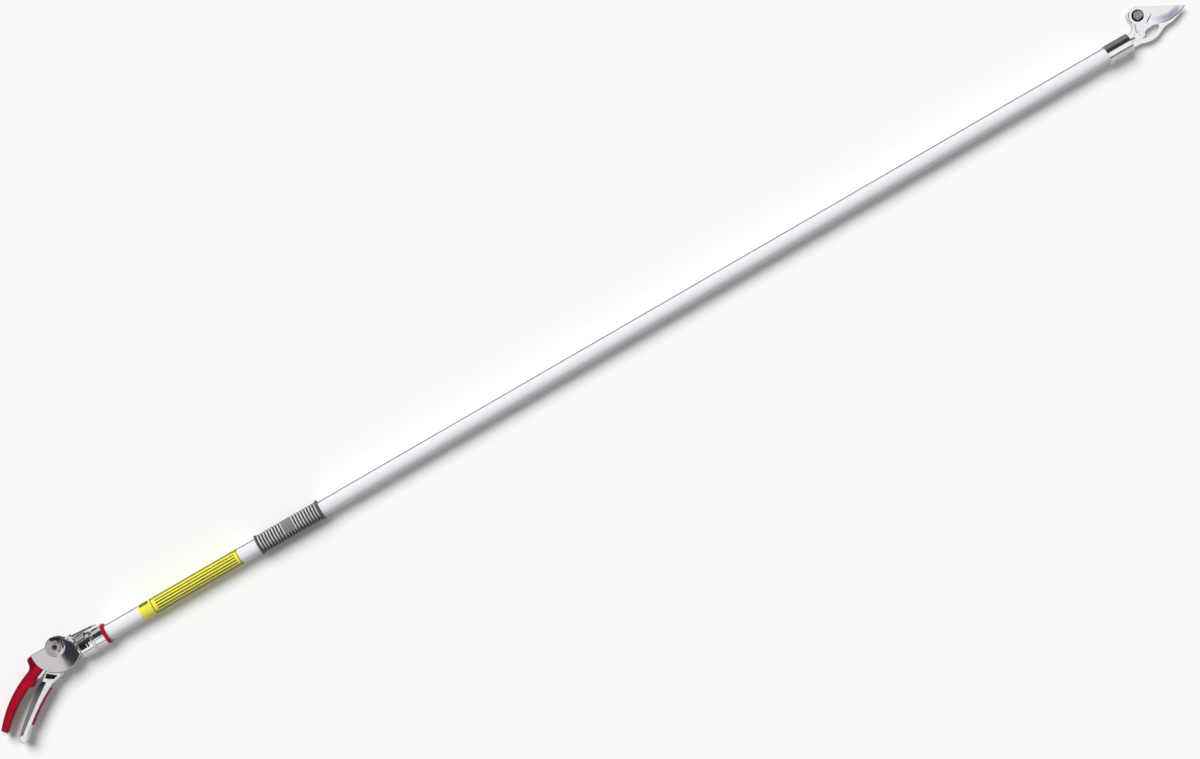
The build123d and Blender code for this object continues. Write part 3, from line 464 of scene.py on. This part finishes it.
def ribbedRubber():
    # a painted highlight on the ribs' upper side that fades to painted shade down their sides, painted
    # shade in the grooves, and a darker pad and end rims
    finish = Finish("greyRubber", rubber["top"], rubber["low"], Specular_IOR_Level=rubber["gloss"])
    low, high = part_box("hand_grip")
    x, y, z = finish.split(finish.mapped(shift=(-(low[0] + high[0]) / 2, -poleY, -poleZ)))
    radius = (y * y + z * z) ** 0.5 / mm
    worn = finish.spread(finish.grain(rubber["wear"], detail=rubber["wearDetail"]), 0.0, 1.0)
    tops = finish.mix(worn, rubber["top"], rubber["worn"])
    # painted highlight: the ribs are lightest near the upper side and take painted shade towards the
    # sides
    offHighlight = finish.positive(finish.angle(y, z) - rubber["facing"])
    tops = finish.mix(finish.ramp(offHighlight, *rubber["fade"]), tops, rubber["side"])
    tops = finish.mix(finish.ramp(radius, *rubber["padRise"]), tops, rubber["pad"])
    rim = finish.positive(x) > (high[0] - low[0]) / 2 - rubber["rim"] * mm
    tops = finish.mix(rim, tops, rubber["side"])
    # painted shade: the grooves are near black
    finish.shade("Base Color", finish.mix(finish.ramp(radius, *rubber["rise"]), rubber["groove"], tops))
    skin = finish.grain(rubber["skin"], detail=rubber["skinDetail"])
    finish.shade("Roughness", finish.spread(skin, rubber["low"], rubber["high"]))
    finish.bump(skin, rubber["strength"], rubber["depth"])
    return finish


hollow = {
    "deeperThan": 7.9,  # mm off the pole's middle, the trigger's open face
    "facing": 0.9,  # how straight up or down a floor looks
    "rows": 3,  # of faces round a floor that are cast rough too
    "dark": rgb(50, 49, 54), "light": rgb(160, 158, 160),
    "fade": (46.0, 92.0),  # mm from the pivot, from painted shade to the cast grey
    "grain": 420, "detail": 4.0, "patchy": 0.82,
    "low": 0.34, "high": 0.5, "depth": 0.05, "strength": 0.3,
}


def castSkin():
    # the rough floors of the trigger's hollows, with painted shade under the plates that fades to cast
    # grey down the lever
    finish = Finish("castSkin", hollow["light"], hollow["low"], 1.0)
    radius = finish.around(handlePivot[0], handlePivot[1]) / mm
    grain = finish.grain(hollow["grain"], detail=hollow["detail"])
    # painted shade: dark near the pivot, under the plates, lighter further down the lever
    light = finish.ramp(radius, *hollow["fade"]) * finish.spread(grain, hollow["patchy"], 1.0)
    finish.shade("Base Color", finish.mix(light, hollow["dark"], hollow["light"]))
    finish.shade("Roughness", finish.spread(grain, hollow["low"], hollow["high"]))
    finish.bump(grain, hollow["strength"], hollow["depth"])
    return finish


label = {
    "header": 19.0,  # mm from the handle end of the band to the cross line
    "crossLine": 1.2,
    "lineStep": 20.5,  # degrees between the lengthwise lines
    "lineWidth": 9.6,
    "lineReach": 45.0,
    "margin": 6.0,
    "border": (49.0, 90.0),  # a band along each side in a lighter ink tone: partly a printed border, mostly painted shade at the label's edges
    "borderInk": 0.8,
    "frame": (1.2, 2.2),  # a line across the far end, mm in from it
    "patch": (2.0, 15.5),  # a plain dark block in the header
    "patchTurn": (38.0, 76.0),
    "yellow": rgb(245, 239, 78),
    "ink": rgb(40, 38, 2),
    "wear": 700, "wearStretch": (0.3, 1, 1), "leastInk": 0.75,
    "film": 300, "depth": 0.02, "strength": 0.1,
    "low": 0.26, "high": 0.4, "coat": 0.35,
}


def within(value, low, high):
    return (value > low) * (value < high)


def labelFilm():
    # plain lines and a block of ink on yellow, with side bands that are partly a printed border and
    # mostly painted edge shade, under a clear coat
    finish = Finish("yellowLabel", label["yellow"], label["low"], 0.0, Coat_Weight=label["coat"])
    low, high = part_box("label_band")
    x, y, z = finish.split(finish.mapped(shift=(-low[0], -poleY, -poleZ)))
    along = x / mm
    angle = finish.angle(y, z)
    step = finish.node("ShaderNodeMath", {"operation": "PINGPONG"}, {
        0: angle + label["lineStep"] / 2, 1: label["lineStep"] / 2})
    length = (high[0] - low[0]) / mm
    header = label["header"]
    half = label["crossLine"] / 2
    side = finish.positive(angle)
    lines = (step < label["lineWidth"] / 2) * (side < label["lineReach"])
    lines = lines * within(along, header + label["margin"], length - label["margin"])
    # painted shade along the label's edges, partly a printed border
    border = within(side, *label["border"]) * (along > header)
    crossLine = within(along, header - half, header + half)
    frameLine = within(along, length - label["frame"][1], length - label["frame"][0])
    patch = within(along, *label["patch"]) * within(angle, *label["patchTurn"])
    ink = lines + crossLine + frameLine + patch + border * label["borderInk"]
    worn = finish.spread(finish.grain(label["wear"], label["wearStretch"]), label["leastInk"], 1.0)
    finish.shade("Base Color", finish.mix(ink * worn, label["yellow"], label["ink"]))
    film = finish.grain(label["film"])
    finish.shade("Roughness", finish.spread(film, label["low"], label["high"]))
    finish.bump(film, label["strength"], label["depth"])
    return finish


blade = {
    "grind": (37.2, 23.4),  # mm from the head pivot to the centre of the ground edge
    "edgeRadius": 50.0,
    "groundWidth": 13.0,
    "groundFade": 7.0,
    "groundReach": (-26.0, -4.0, 10.0, 24.0),  # mm along the blade from that centre
    "heel": ((18.9, -6.0), (4.7, -14.7)),  # the painted shadow line where the grind starts, mm from the head pivot
    "heelWidth": 0.9,
    "heelCore": 1 / 3,  # share of that width where the line is full
    "heelFade": (0.0, 1 / 3, 0.8, 1.0),  # shares of its length
    "keenWidth": (1.3, 0.5),  # mm in from the edge
    "keenReach": (-20.0, -2.0),
    # ground is a painted reflection tone for the ground face, keen the painted shade along the edge and
    # at the heel
    "bright": rgb(240, 241, 244),
    "ground": rgb(146, 153, 176),
    "keen": rgb(40, 42, 56),
    "cloud": 90, "cloudDetail": 4.0, "leastTint": 0.7,
    "marks": 9.0, "marksDetail": 3.0,  # marks to a mm of radius
    "low": 0.1, "high": 0.24, "depth": 0.02, "strength": 0.1,
}


def heelShadowLine(finish):
    # a painted shadow line where the grind starts: soft-edged, and fading out at both its ends
    first, last = blade["heel"]
    length = math.hypot(last[0] - first[0], last[1] - first[1])
    way = [(last[i] - first[i]) / length for i in range(2)]
    shift = [-headPivot[i] - first[i] * mm for i in range(2)]
    x, y, z = finish.split(finish.mapped(shift=shift + [0]))
    along = (x * way[0] + y * way[1]) / mm
    off = finish.positive((x * way[1] - y * way[0]) / mm)
    ends = finish.between(along, *[length * share for share in blade["heelFade"]])
    return ends * (1 - finish.ramp(off, blade["heelWidth"] * blade["heelCore"], blade["heelWidth"]))


def groundBlade():
    # polished steel with a painted reflection, a bluish-grey tint over the ground zone that runs along
    # the cutting edge, a painted shadow line at the heel of the grind, and painted shade along the edge
    # itself
    finish = Finish("bladeSteel", blade["bright"], blade["low"], 1.0)
    centre = [headPivot[i] + blade["grind"][i] * mm for i in range(2)]
    x, y, z = finish.split(finish.mapped(shift=(-centre[0], -centre[1], 0)))
    radius = (x * x + y * y) ** 0.5 / mm
    along = x / mm
    edge = blade["edgeRadius"]
    inner = edge - blade["groundWidth"]
    ground = finish.ramp(radius, inner, inner + blade["groundFade"])
    ground = ground * finish.between(along, *blade["groundReach"])
    cloud = finish.grain(blade["cloud"], detail=blade["cloudDetail"])
    ground = ground * finish.spread(cloud, blade["leastTint"], 1.0)
    # painted reflection: the ground face tinted bluish-grey
    tint = finish.mix(ground, blade["bright"], blade["ground"])
    # painted shadow at the heel of the grind
    tint = finish.mix(heelShadowLine(finish), tint, blade["keen"])
    # painted shade along the cutting edge
    keen = finish.ramp(radius, *[edge - width for width in blade["keenWidth"]])
    keen = keen * finish.ramp(along, *blade["keenReach"])
    finish.shade("Base Color", finish.mix(keen, tint, blade["keen"]))
    marks = finish.rings(radius, blade["marks"], blade["marksDetail"])
    finish.shade("Roughness", finish.spread(marks, blade["low"], blade["high"]))
    finish.bump(marks, blade["strength"], blade["depth"])
    return finish


bolt = {
    "socket": (2.6, 3.1), "rim": (5.2, 5.7),  # mm from the pivot, for the painted shade in the socket and the painted highlight at the rim
    # deep is painted shade in the socket, bright a painted highlight at the rim
    "deep": rgb(62, 52, 50), "tone": rgb(172, 158, 150), "bright": rgb(224, 222, 220),
    "low": 0.16, "high": 0.3,
}


def socketedBolt():
    # browned over its face, with painted shade in the socket and a painted highlight at the rim
    finish = polishedMetal("brownedSteel", bolt["tone"], bolt["low"], bolt["high"])
    radius = finish.around(handlePivot[0], handlePivot[1]) / mm
    # painted shade in the socket
    face = finish.mix(finish.ramp(radius, *bolt["socket"]), bolt["deep"], bolt["tone"])
    # painted highlight at the rim
    finish.shade("Base Color", finish.mix(finish.ramp(radius, *bolt["rim"]), face, bolt["bright"]))
    return finish


finishes = {
    "polished_plate": turnedMetal("polishedPlate", handlePivot),
    "cast_alloy": polishedMetal("castAlloy", rgb(234, 235, 237), 0.1, 0.2, dent=0.008),
    "red_vinyl": moulded("redVinyl", rgb(178, 8, 38), rgb(150, 4, 36), 0.4, 900, 0.05,
                         Specular_IOR_Level=0.2),
    "red_plastic": moulded("redPlastic", rgb(184, 10, 40), rgb(160, 6, 36), 0.26, 1100, 0.02,
                           Specular_IOR_Level=0.25),
    "steel": polishedMetal("brightSteel", rgb(204, 203, 201), 0.18, 0.32),
    "spring_steel": drawnMetal("springSteel", rgb(180, 180, 182), 0.24, 0.36),
    "black_oxide": polishedMetal("blackOxide", rgb(26, 26, 28), 0.34, 0.5),
    "pole_aluminium": edgeShadedPole(),
    "yellow_label": labelFilm(),
    "grey_rubber": ribbedRubber(),
    "nylon": moulded("whiteNylon", rgb(238, 237, 230), rgb(226, 224, 214), 0.5, 700, 0.03),
    "chrome": polishedMetal("chromePlate", rgb(236, 237, 239), 0.06, 0.14, 160, dent=0.01),
    "blade_steel": groundBlade(),
}
# finishes of single pieces or of some of their faces
shadedSteel = polishedMetal("shadedSteel", rgb(176, 176, 178), 0.26, 0.4)
brownedSteel = socketedBolt()
darkSleeve = polishedMetal("darkSleeve", rgb(58, 46, 54), 0.3, 0.44)
triggerHollow = castSkin()
slotNodes = {
    "polished_plate": ["side_plate_near", "side_plate_far"],
    "cast_alloy": ["handle_core", "neck", "trigger", "rod_yoke"],
    "red_vinyl": ["rear_grip", "trigger_pad"],
    "red_plastic": ["socket_collar"],
    "steel": ["plate_dowels", "trigger_pivot_bolt", "trigger_pivot_nut", "index_lever_pin",
              "trigger_rod_pin", "pull_rod", "rod_eye", "clamp_screws", "hook_tang_pin",
              "head_pivot_bolt", "head_pivot_nut", "blade_link_pin", "index_lever", "rod_swivel"],
    "spring_steel": ["return_spring", "index_lever_spring", "spindle_clip"],
    "black_oxide": ["head_pivot_washer"],
    "pole_aluminium": ["pole_tube"],
    "yellow_label": ["label_band"],
    "grey_rubber": ["hand_grip"],
    "nylon": ["rod_guides", "head_plug"],
    "chrome": ["pole_socket", "index_ring", "head_socket", "head_clamp_bar", "hook"],
    "blade_steel": ["blade"],
}
slotOf = {node: slot for slot, members in slotNodes.items() for node in members}
for node, piece in nodes.items():
    piece.data.materials.clear()
    piece.data.materials.append(finishes[slotOf[node]].material)
bodyOf = {node: body for body, members in frame["record"]["behaviour"]["bodies"].items()
          for node in members}
print("finishes made:", len(finishes))

# the pole and what is lathed on it
pole = {
    "wall": 1.2, "edge": 0.3,
    "labelGap": 0.01, "labelEdge": 0.12,
    "steps": 128, "smooth": 40,
}


def band(node, bore, edge):
    # a plain sleeve with its outer edges broken, as a closed profile
    low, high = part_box(node)
    radius = (high[1] - low[1]) / 2
    return [(low[0], bore), (low[0], radius - edge), (low[0] + edge, radius), (high[0] - edge, radius),
            (high[0], radius - edge), (high[0], bore), (low[0], bore)]


poleRadius = (poleHigh[1] - poleLow[1]) / 2
poleTube = lathe("poleTube", band("pole_tube", poleRadius - pole["wall"] * mm, pole["edge"] * mm),
                 pole["steps"])
smooth(poleTube, pole["smooth"])
finishPiece(poleTube, "pole", "pole_aluminium", finishes["pole_aluminium"], "pole_tube")

labelBore = poleRadius + pole["labelGap"] * mm
labelBand = lathe("labelBand", band("label_band", labelBore, pole["labelEdge"] * mm), pole["steps"])
smooth(labelBand, pole["smooth"])
finishPiece(labelBand, "pole", "yellow_label", finishes["yellow_label"], "label_band")
print("pole and label lathed")

handGrip = {
    "gap": 0.02,  # mm between the grip and the pole
    "flange": 3.0,
    "flangeRound": 1.1,
    "flangeSteps": 4,
    "ribs": 21,
    "ribTop": 13.2,
    "ribShare": 0.64,  # width of a rib over the pitch
    "ribPower": 0.5,  # how square a rib's shoulders are
    "groove": 11.65,
    "archSteps": 8,
    "padLength": 14.0,
    "padTurn": (-25.0, 100.0),  # degrees: where it starts off the upper side, and how far it wraps
    "padTop": 13.35,
    "padSteps": 30,
    "padEdge": 0.5, "padEdgeSteps": 3, "padEdgeAngle": 50,
    "smooth": 50,
}


def flangeProfile(start, direction, top, groove):
    # a rolled end rim, drawn from its outer face inwards
    width = handGrip["flange"] * mm
    bend = handGrip["flangeRound"] * mm
    steps = handGrip["flangeSteps"]
    quarter = [math.pi / 2 * k / steps for k in range(steps + 1)]
    seat = top - bend
    points = [(0, poleRadius + handGrip["gap"] * mm)]
    points += [(bend * (1 - math.cos(turn)), seat + bend * math.sin(turn)) for turn in quarter]
    points += [(width - bend + bend * math.sin(turn), seat + bend * math.cos(turn)) for turn in quarter]
    points.append((width, groove))
    return [(start + direction * along, radius) for along, radius in points]


def ribbedGrip():
    low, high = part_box("hand_grip")
    top = (high[1] - low[1]) / 2
    groove = handGrip["groove"] * mm
    rise = (handGrip["ribTop"] - handGrip["groove"]) * mm
    first = flangeProfile(low[0], 1, top, groove)
    last = flangeProfile(high[0], -1, top, groove)
    start = first[-1][0]
    pitch = (last[-1][0] - start) / handGrip["ribs"]
    profile = list(first)
    width = pitch * handGrip["ribShare"]
    for rib in range(handGrip["ribs"]):
        middle = start + pitch * (rib + 0.5)
        for k in range(handGrip["archSteps"] + 1):
            turn = math.pi * k / handGrip["archSteps"]
            height = rise * math.sin(turn) ** handGrip["ribPower"]
            profile.append((middle - width / 2 * math.cos(turn), groove + height))
    grip = lathe("handGrip", profile + list(reversed(last)) + [first[0]], pole["steps"])
    # the bare pad in the middle of the ribs, wrapped from the upper side down over the back
    centre = (low[0] + high[0]) / 2
    reach = handGrip["padLength"] / 2 * mm
    top = handGrip["padTop"] * mm
    begin, wrap = (math.radians(turn) for turn in handGrip["padTurn"])
    pad = lathe("pad", [(centre - reach, groove), (centre - reach, top), (centre + reach, top),
                        (centre + reach, groove), (centre - reach, groove)],
                handGrip["padSteps"], begin, wrap)
    breakEdges(pad, handGrip["padEdge"], handGrip["padEdgeSteps"], handGrip["padEdgeAngle"])
    joinTo(grip, pad)
    smooth(grip, handGrip["smooth"])
    return grip


finishPiece(ribbedGrip(), "pole", "grey_rubber", finishes["grey_rubber"], "hand_grip")
print("hand grip ribbed")

# castings and steel parts: the CAD shape with its edges broken
edges = {
    "trigger": 0.6, "neck": 0.4, "handle_core": 0.3,
    "index_lever": 0.35, "index_ring": 0.35, "pole_socket": 0.35, "socket_collar": 0.4,
    "trigger_pivot_bolt": 0.3, "trigger_pivot_nut": 0.3, "trigger_pad": 0.5, "head_socket": 0.4,
    "head_clamp_bar": 0.4, "hook": 0.8, "blade": 0.12, "head_pivot_bolt": 0.35, "head_pivot_nut": 0.3,
    "head_pivot_washer": 0.3, "rod_eye": 0.35, "blade_link_pin": 0.25, "clamp_screws": 0.25,
    "trigger_rod_pin": 0.25, "plate_dowels": 0.2,
}


def camel(node):
    words = node.split("_")
    return words[0] + "".join(word.capitalize() for word in words[1:])


pieceFinish = {"head_pivot_bolt": shadedSteel, "trigger_pivot_bolt": brownedSteel,
               "rod_eye": finishes["chrome"], "blade_link_pin": finishes["chrome"]}
cast = {}


castSmooth = 32  # degrees


def settleNormals(piece):
    smooth(piece, castSmooth)
    applyModifier(piece, "WEIGHTED_NORMAL", keep_sharp=True)


for node, width in edges.items():
    piece = fairedCopy(node, camel(node))
    cast[node] = piece
    breakEdges(piece, width)
    settleNormals(piece)
    finishPiece(piece, bodyOf[node], slotOf[node], pieceFinish.get(node, finishes[slotOf[node]]), node)


def hollowFloor(face):
    depth = abs(face.calc_center_median().z - poleZ)
    return abs(face.normal.z) > hollow["facing"] and depth < hollow["deeperThan"] * mm


secondFinish(cast["trigger"], triggerHollow, hollowFloor, hollow["rows"])
# the part of the pole socket that shows through the ring's windows
sleeve = {"radius": 13.0, "under": 0.6}  # its largest radius, and how far short of the ring's front
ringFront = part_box("index_ring")[1][0] - sleeve["under"] * mm
startEdit(cast["pole_socket"])
bpy.ops.mesh.select_all(action="SELECT")
bpy.ops.mesh.bisect(plane_co=(ringFront, 0, 0), plane_no=(1, 0, 0))
bpy.ops.object.mode_set(mode="OBJECT")


def underRing(face):
    middle = face.calc_center_median()
    return middle.x < ringFront and math.hypot(middle.y - poleY, middle.z - poleZ) < sleeve["radius"] * mm


secondFinish(cast["pole_socket"], darkSleeve, underRing)
print("castings finished:", len(edges))

# side plates: the CAD shape with its edges broken and a turned boss round the pivot
plate = {"edge": 0.35, "edgeSteps": 3}
hub = {
    "foot": 13.6, "top": 8.6, "seat": 7.45,  # radii, mm
    "base": 9.46, "rise": 1.92, "dish": 10.72,  # heights off the pole's middle
    "sunk": 0.6,  # into the plate
    "hollow": 0.35,  # how much the cone sags at its foot
    "coneSteps": 8,
    "lip": 0.35, "lipDrop": 0.5, "lipSteps": 4,
    "steps": 128, "smooth": 35,
}


def turnedHub(name, side):
    # the raised cone round the pivot, with a hollow foot, a rounded lip and the bolt's seat
    foot, base, lip, seat = hub["foot"], hub["base"], hub["lip"], hub["seat"]
    top = base + hub["rise"]
    under = base - hub["sunk"]
    profile = [(seat, under), (foot, under), (foot, base)]
    run = foot - hub["top"]
    for k in range(hub["coneSteps"]):
        share = (k + 1) / hub["coneSteps"]
        height = hub["rise"] * share ** (1 + hub["hollow"] * (1 - share))
        profile.append((foot - run * share, base + height))
    for k in range(hub["lipSteps"]):
        turn = math.pi / 2 * (k + 1) / hub["lipSteps"]
        drop = lip * (1 - math.cos(turn)) * hub["lipDrop"]
        profile.append((hub["top"] - lip * math.sin(turn), top - drop))
    profile += [(seat, top - lip), (seat, hub["dish"]), (seat, under)]
    piece = turnOnPivot(name, handlePivot, [(r, side * h) for r, h in profile], hub["steps"])
    smooth(piece, hub["smooth"])
    return piece


for node, side in (("side_plate_near", 1), ("side_plate_far", -1)):
    piece = fairedCopy(node, camel(node))
    breakEdges(piece, plate["edge"], plate["edgeSteps"])
    settleNormals(piece)
    boss = turnedHub("boss", side)
    joinTo(piece, boss)
    finishPiece(piece, bodyOf[node], slotOf[node], finishes[slotOf[node]], node)
print("side plates turned")

# the dipped sleeve on the rear handle: drawn over with a softer skin
dip = {
    "voxel": 0.6, "smoothing": 0.5, "passes": 4, "smooth": 60,
    # outer is the painted shade along the sleeve's outer side
    "crimson": rgb(182, 9, 40), "deep": rgb(160, 5, 38), "outer": rgb(112, 2, 32),
    "roughness": 0.4, "gloss": 0.2,
    "pebble": 900, "dent": 0.05,
    "arc": (5.6, -161.1), "arcRadius": 160.1,  # the sleeve's outer side, mm off the handle pivot
    "edge": (5.5, 1.0),  # where the painted shade starts, mm in from that side
}


def dippedVinyl():
    # the sleeve's crimson, with painted shade along the outer side
    finish = moulded("dippedVinyl", dip["crimson"], dip["deep"], dip["roughness"], dip["pebble"],
                     dip["dent"], Specular_IOR_Level=dip["gloss"])
    centre = [handlePivot[i] + dip["arc"][i] * mm for i in range(2)]
    inward = dip["arcRadius"] - finish.around(*centre) / mm
    # painted shade along the outer side
    outerShade = finish.ramp(inward, *dip["edge"])
    body = drifting(finish, dip["crimson"], dip["deep"])
    finish.shade("Base Color", finish.mix(outerShade, body, dip["outer"]))
    return finish


rearGrip = fairedCopy("rear_grip", "rearGrip")
applyModifier(rearGrip, "REMESH", mode="VOXEL", voxel_size=dip["voxel"] * mm, adaptivity=0.0)
applyModifier(rearGrip, "SMOOTH", factor=dip["smoothing"], iterations=dip["passes"])
smooth(rearGrip, dip["smooth"])
finishPiece(rearGrip, "handle", "red_vinyl", dippedVinyl(), "rear_grip")
print("rear sleeve dipped")

# floor, light and the photograph's view
stage = {
    "floor": rgb(250, 250, 250), "roughness": 0.9,
    "glow": 0.06,  # added where the camera sees the floor
    "size": 40.0,  # m
    "drop": 0.2,  # mm under the object
}
bpy.ops.object.select_all(action="DESELECT")
bpy.ops.mesh.primitive_plane_add(size=stage["size"], location=(0, 0, -stage["drop"] * mm))
floor = bpy.context.object
floor.name = "floor"
paper = Finish("paleFloor", stage["floor"], stage["roughness"], 0.0, Specular_IOR_Level=0.0,
               Emission_Strength=1.0)
seen = paper.node("ShaderNodeLightPath", {}, {}, "Is Camera Ray")
paper.shade("Emission Color", paper.mix(seen, grey(0.0), grey(stage["glow"])))
floor.data.materials.append(paper.material)
floor.visible_glossy = False  # metal sees the studio's own ground instead

studio = {
    "fill": 0.18,  # plain light from all round
    "key": 2.85,
    "keySpread": 36.0,  # degrees across the lamp, for the softness of the shadow
    "keyPlace": (-0.505, 2.38, 3.4),
    # what polished metal sees, by degrees across the pole: bright overhead, dark flags, a grey ground
    "dome": [(-180, 0.5), (-98, 0.55), (-90, 0.85), (-66, 0.8), (-63, 0.1), (-57, 0.1), (-54, 0.95),
             (-30, 1.0), (6, 1.0), (13, 0.05), (64, 0.04), (69, 0.8), (90, 0.7), (98, 0.6), (180, 0.6)],
    # where the room opens past the ends of those flags, in degrees along the pole
    "open": (24.0, 36.0),
    # what is seen there, by degrees from straight up
    "openDome": [(0, 1.0), (34, 0.95), (38, 0.12), (46, 0.12), (50, 0.7), (75, 0.6), (90, 0.68),
                 (98, 0.5), (180, 0.5)],
    # a flag that darkens the front of the handle's plates: its turn, then where it starts and ends
    "flagTurn": -22.5,
    "flag": (-9.5, -8.4, -2.5, -1.5),
    "flagReach": (9.0, 12.0),  # degrees to each side of the pole
    "flagDepth": 0.97,
    "flagTone": (0.02, 0.02, 0.05, 1.0),
    # a second one that darkens what leans steeply towards the head
    "flank": (18.0, 22.0, 32.0, 36.0),
    "flankReach": (-17.0, -12.0, 40.0, 48.0),
    # a grey side behind the head, low down
    "lowSide": (63.0, 66.0, 4.0, 8.0),
    "lowTone": grey(0.22),
}


def stops(spots, least, most):
    # a ramp's stops, from spots of (degrees, value)
    return {"stops": [((turn - least) / (most - least), grey(value)) for turn, value in spots]}


def studioWorld():
    world = bpy.data.worlds.new("studio")
    bpy.context.scene.world = world
    sky = NodeTree(world)
    x, y, z = sky.split(sky.node("ShaderNodeTexCoord", {}, {}, "Generated"))
    across = sky.angle(y, z)
    along = sky.angle(x, z)
    dome = sky.node("ShaderNodeValToRGB", stops(studio["dome"], -180, 180), {0: across / 360 + 0.5})
    tilt = sky.angle((x * x + y * y) ** 0.5, z)
    room = sky.node("ShaderNodeValToRGB", stops(studio["openDome"], 0, 180), {0: tilt / 180})
    dome = sky.mix(sky.ramp(sky.positive(along), *studio["open"]), dome, room)
    turn = math.radians(studio["flagTurn"])
    place = along * math.cos(turn) + across * math.sin(turn)
    flag = sky.between(place, *studio["flag"])
    flag = flag * (1 - sky.ramp(sky.positive(across), *studio["flagReach"]))
    flank = sky.between(along, *studio["flank"]) * sky.between(across, *studio["flankReach"])
    dome = sky.mix((flag + flank) * studio["flagDepth"], dome, studio["flagTone"])
    low = sky.ramp(across, *studio["lowSide"][:2]) * sky.ramp(along, *studio["lowSide"][2:])
    dome = sky.mix(low, dome, studio["lowTone"])
    glossy = sky.node("ShaderNodeLightPath", {}, {}, "Is Glossy Ray")
    light = sky.mix(glossy, grey(studio["fill"]), dome)
    sky.feed(world.node_tree.nodes["Background"].inputs["Color"], light)


studioWorld()


def keyLight(place):
    lamp = bpy.data.lights.new("keyLight", "SUN")
    lamp.energy = studio["key"]
    lamp.angle = math.radians(studio["keySpread"])
    holder = bpy.data.objects.new("keyLight", lamp)
    bpy.context.scene.collection.objects.link(holder)
    holder.location = place
    tilt = math.atan2(math.hypot(place[0], place[1]), place[2])
    holder.rotation_euler = (0, tilt, math.atan2(place[1], place[0]))
    holder.visible_glossy = False


keyLight(studio["keyPlace"])

photo = {
    "mmPerPixel": 1.34, "pixels": 1200,
    "centre": (-0.0004, -0.0187), "height": 3.7,  # m
    "turn": 30.03,  # degrees
    "sensor": 36.0, "clip": 200,
}
lens = bpy.data.cameras.new("photoView")
lens.sensor_width = photo["sensor"]
lens.lens = lens.sensor_width * photo["height"] / (photo["mmPerPixel"] * photo["pixels"] * mm)
lens.clip_end = photo["clip"]
camera = bpy.data.objects.new("photoView", lens)
bpy.context.scene.collection.objects.link(camera)
camera.location = (photo["centre"][0], photo["centre"][1], poleZ + photo["height"])
camera.rotation_euler = (0, 0, math.radians(-photo["turn"]))
bpy.context.scene.camera = camera
bpy.context.scene.view_settings.view_transform = "Standard"
print("stage set")
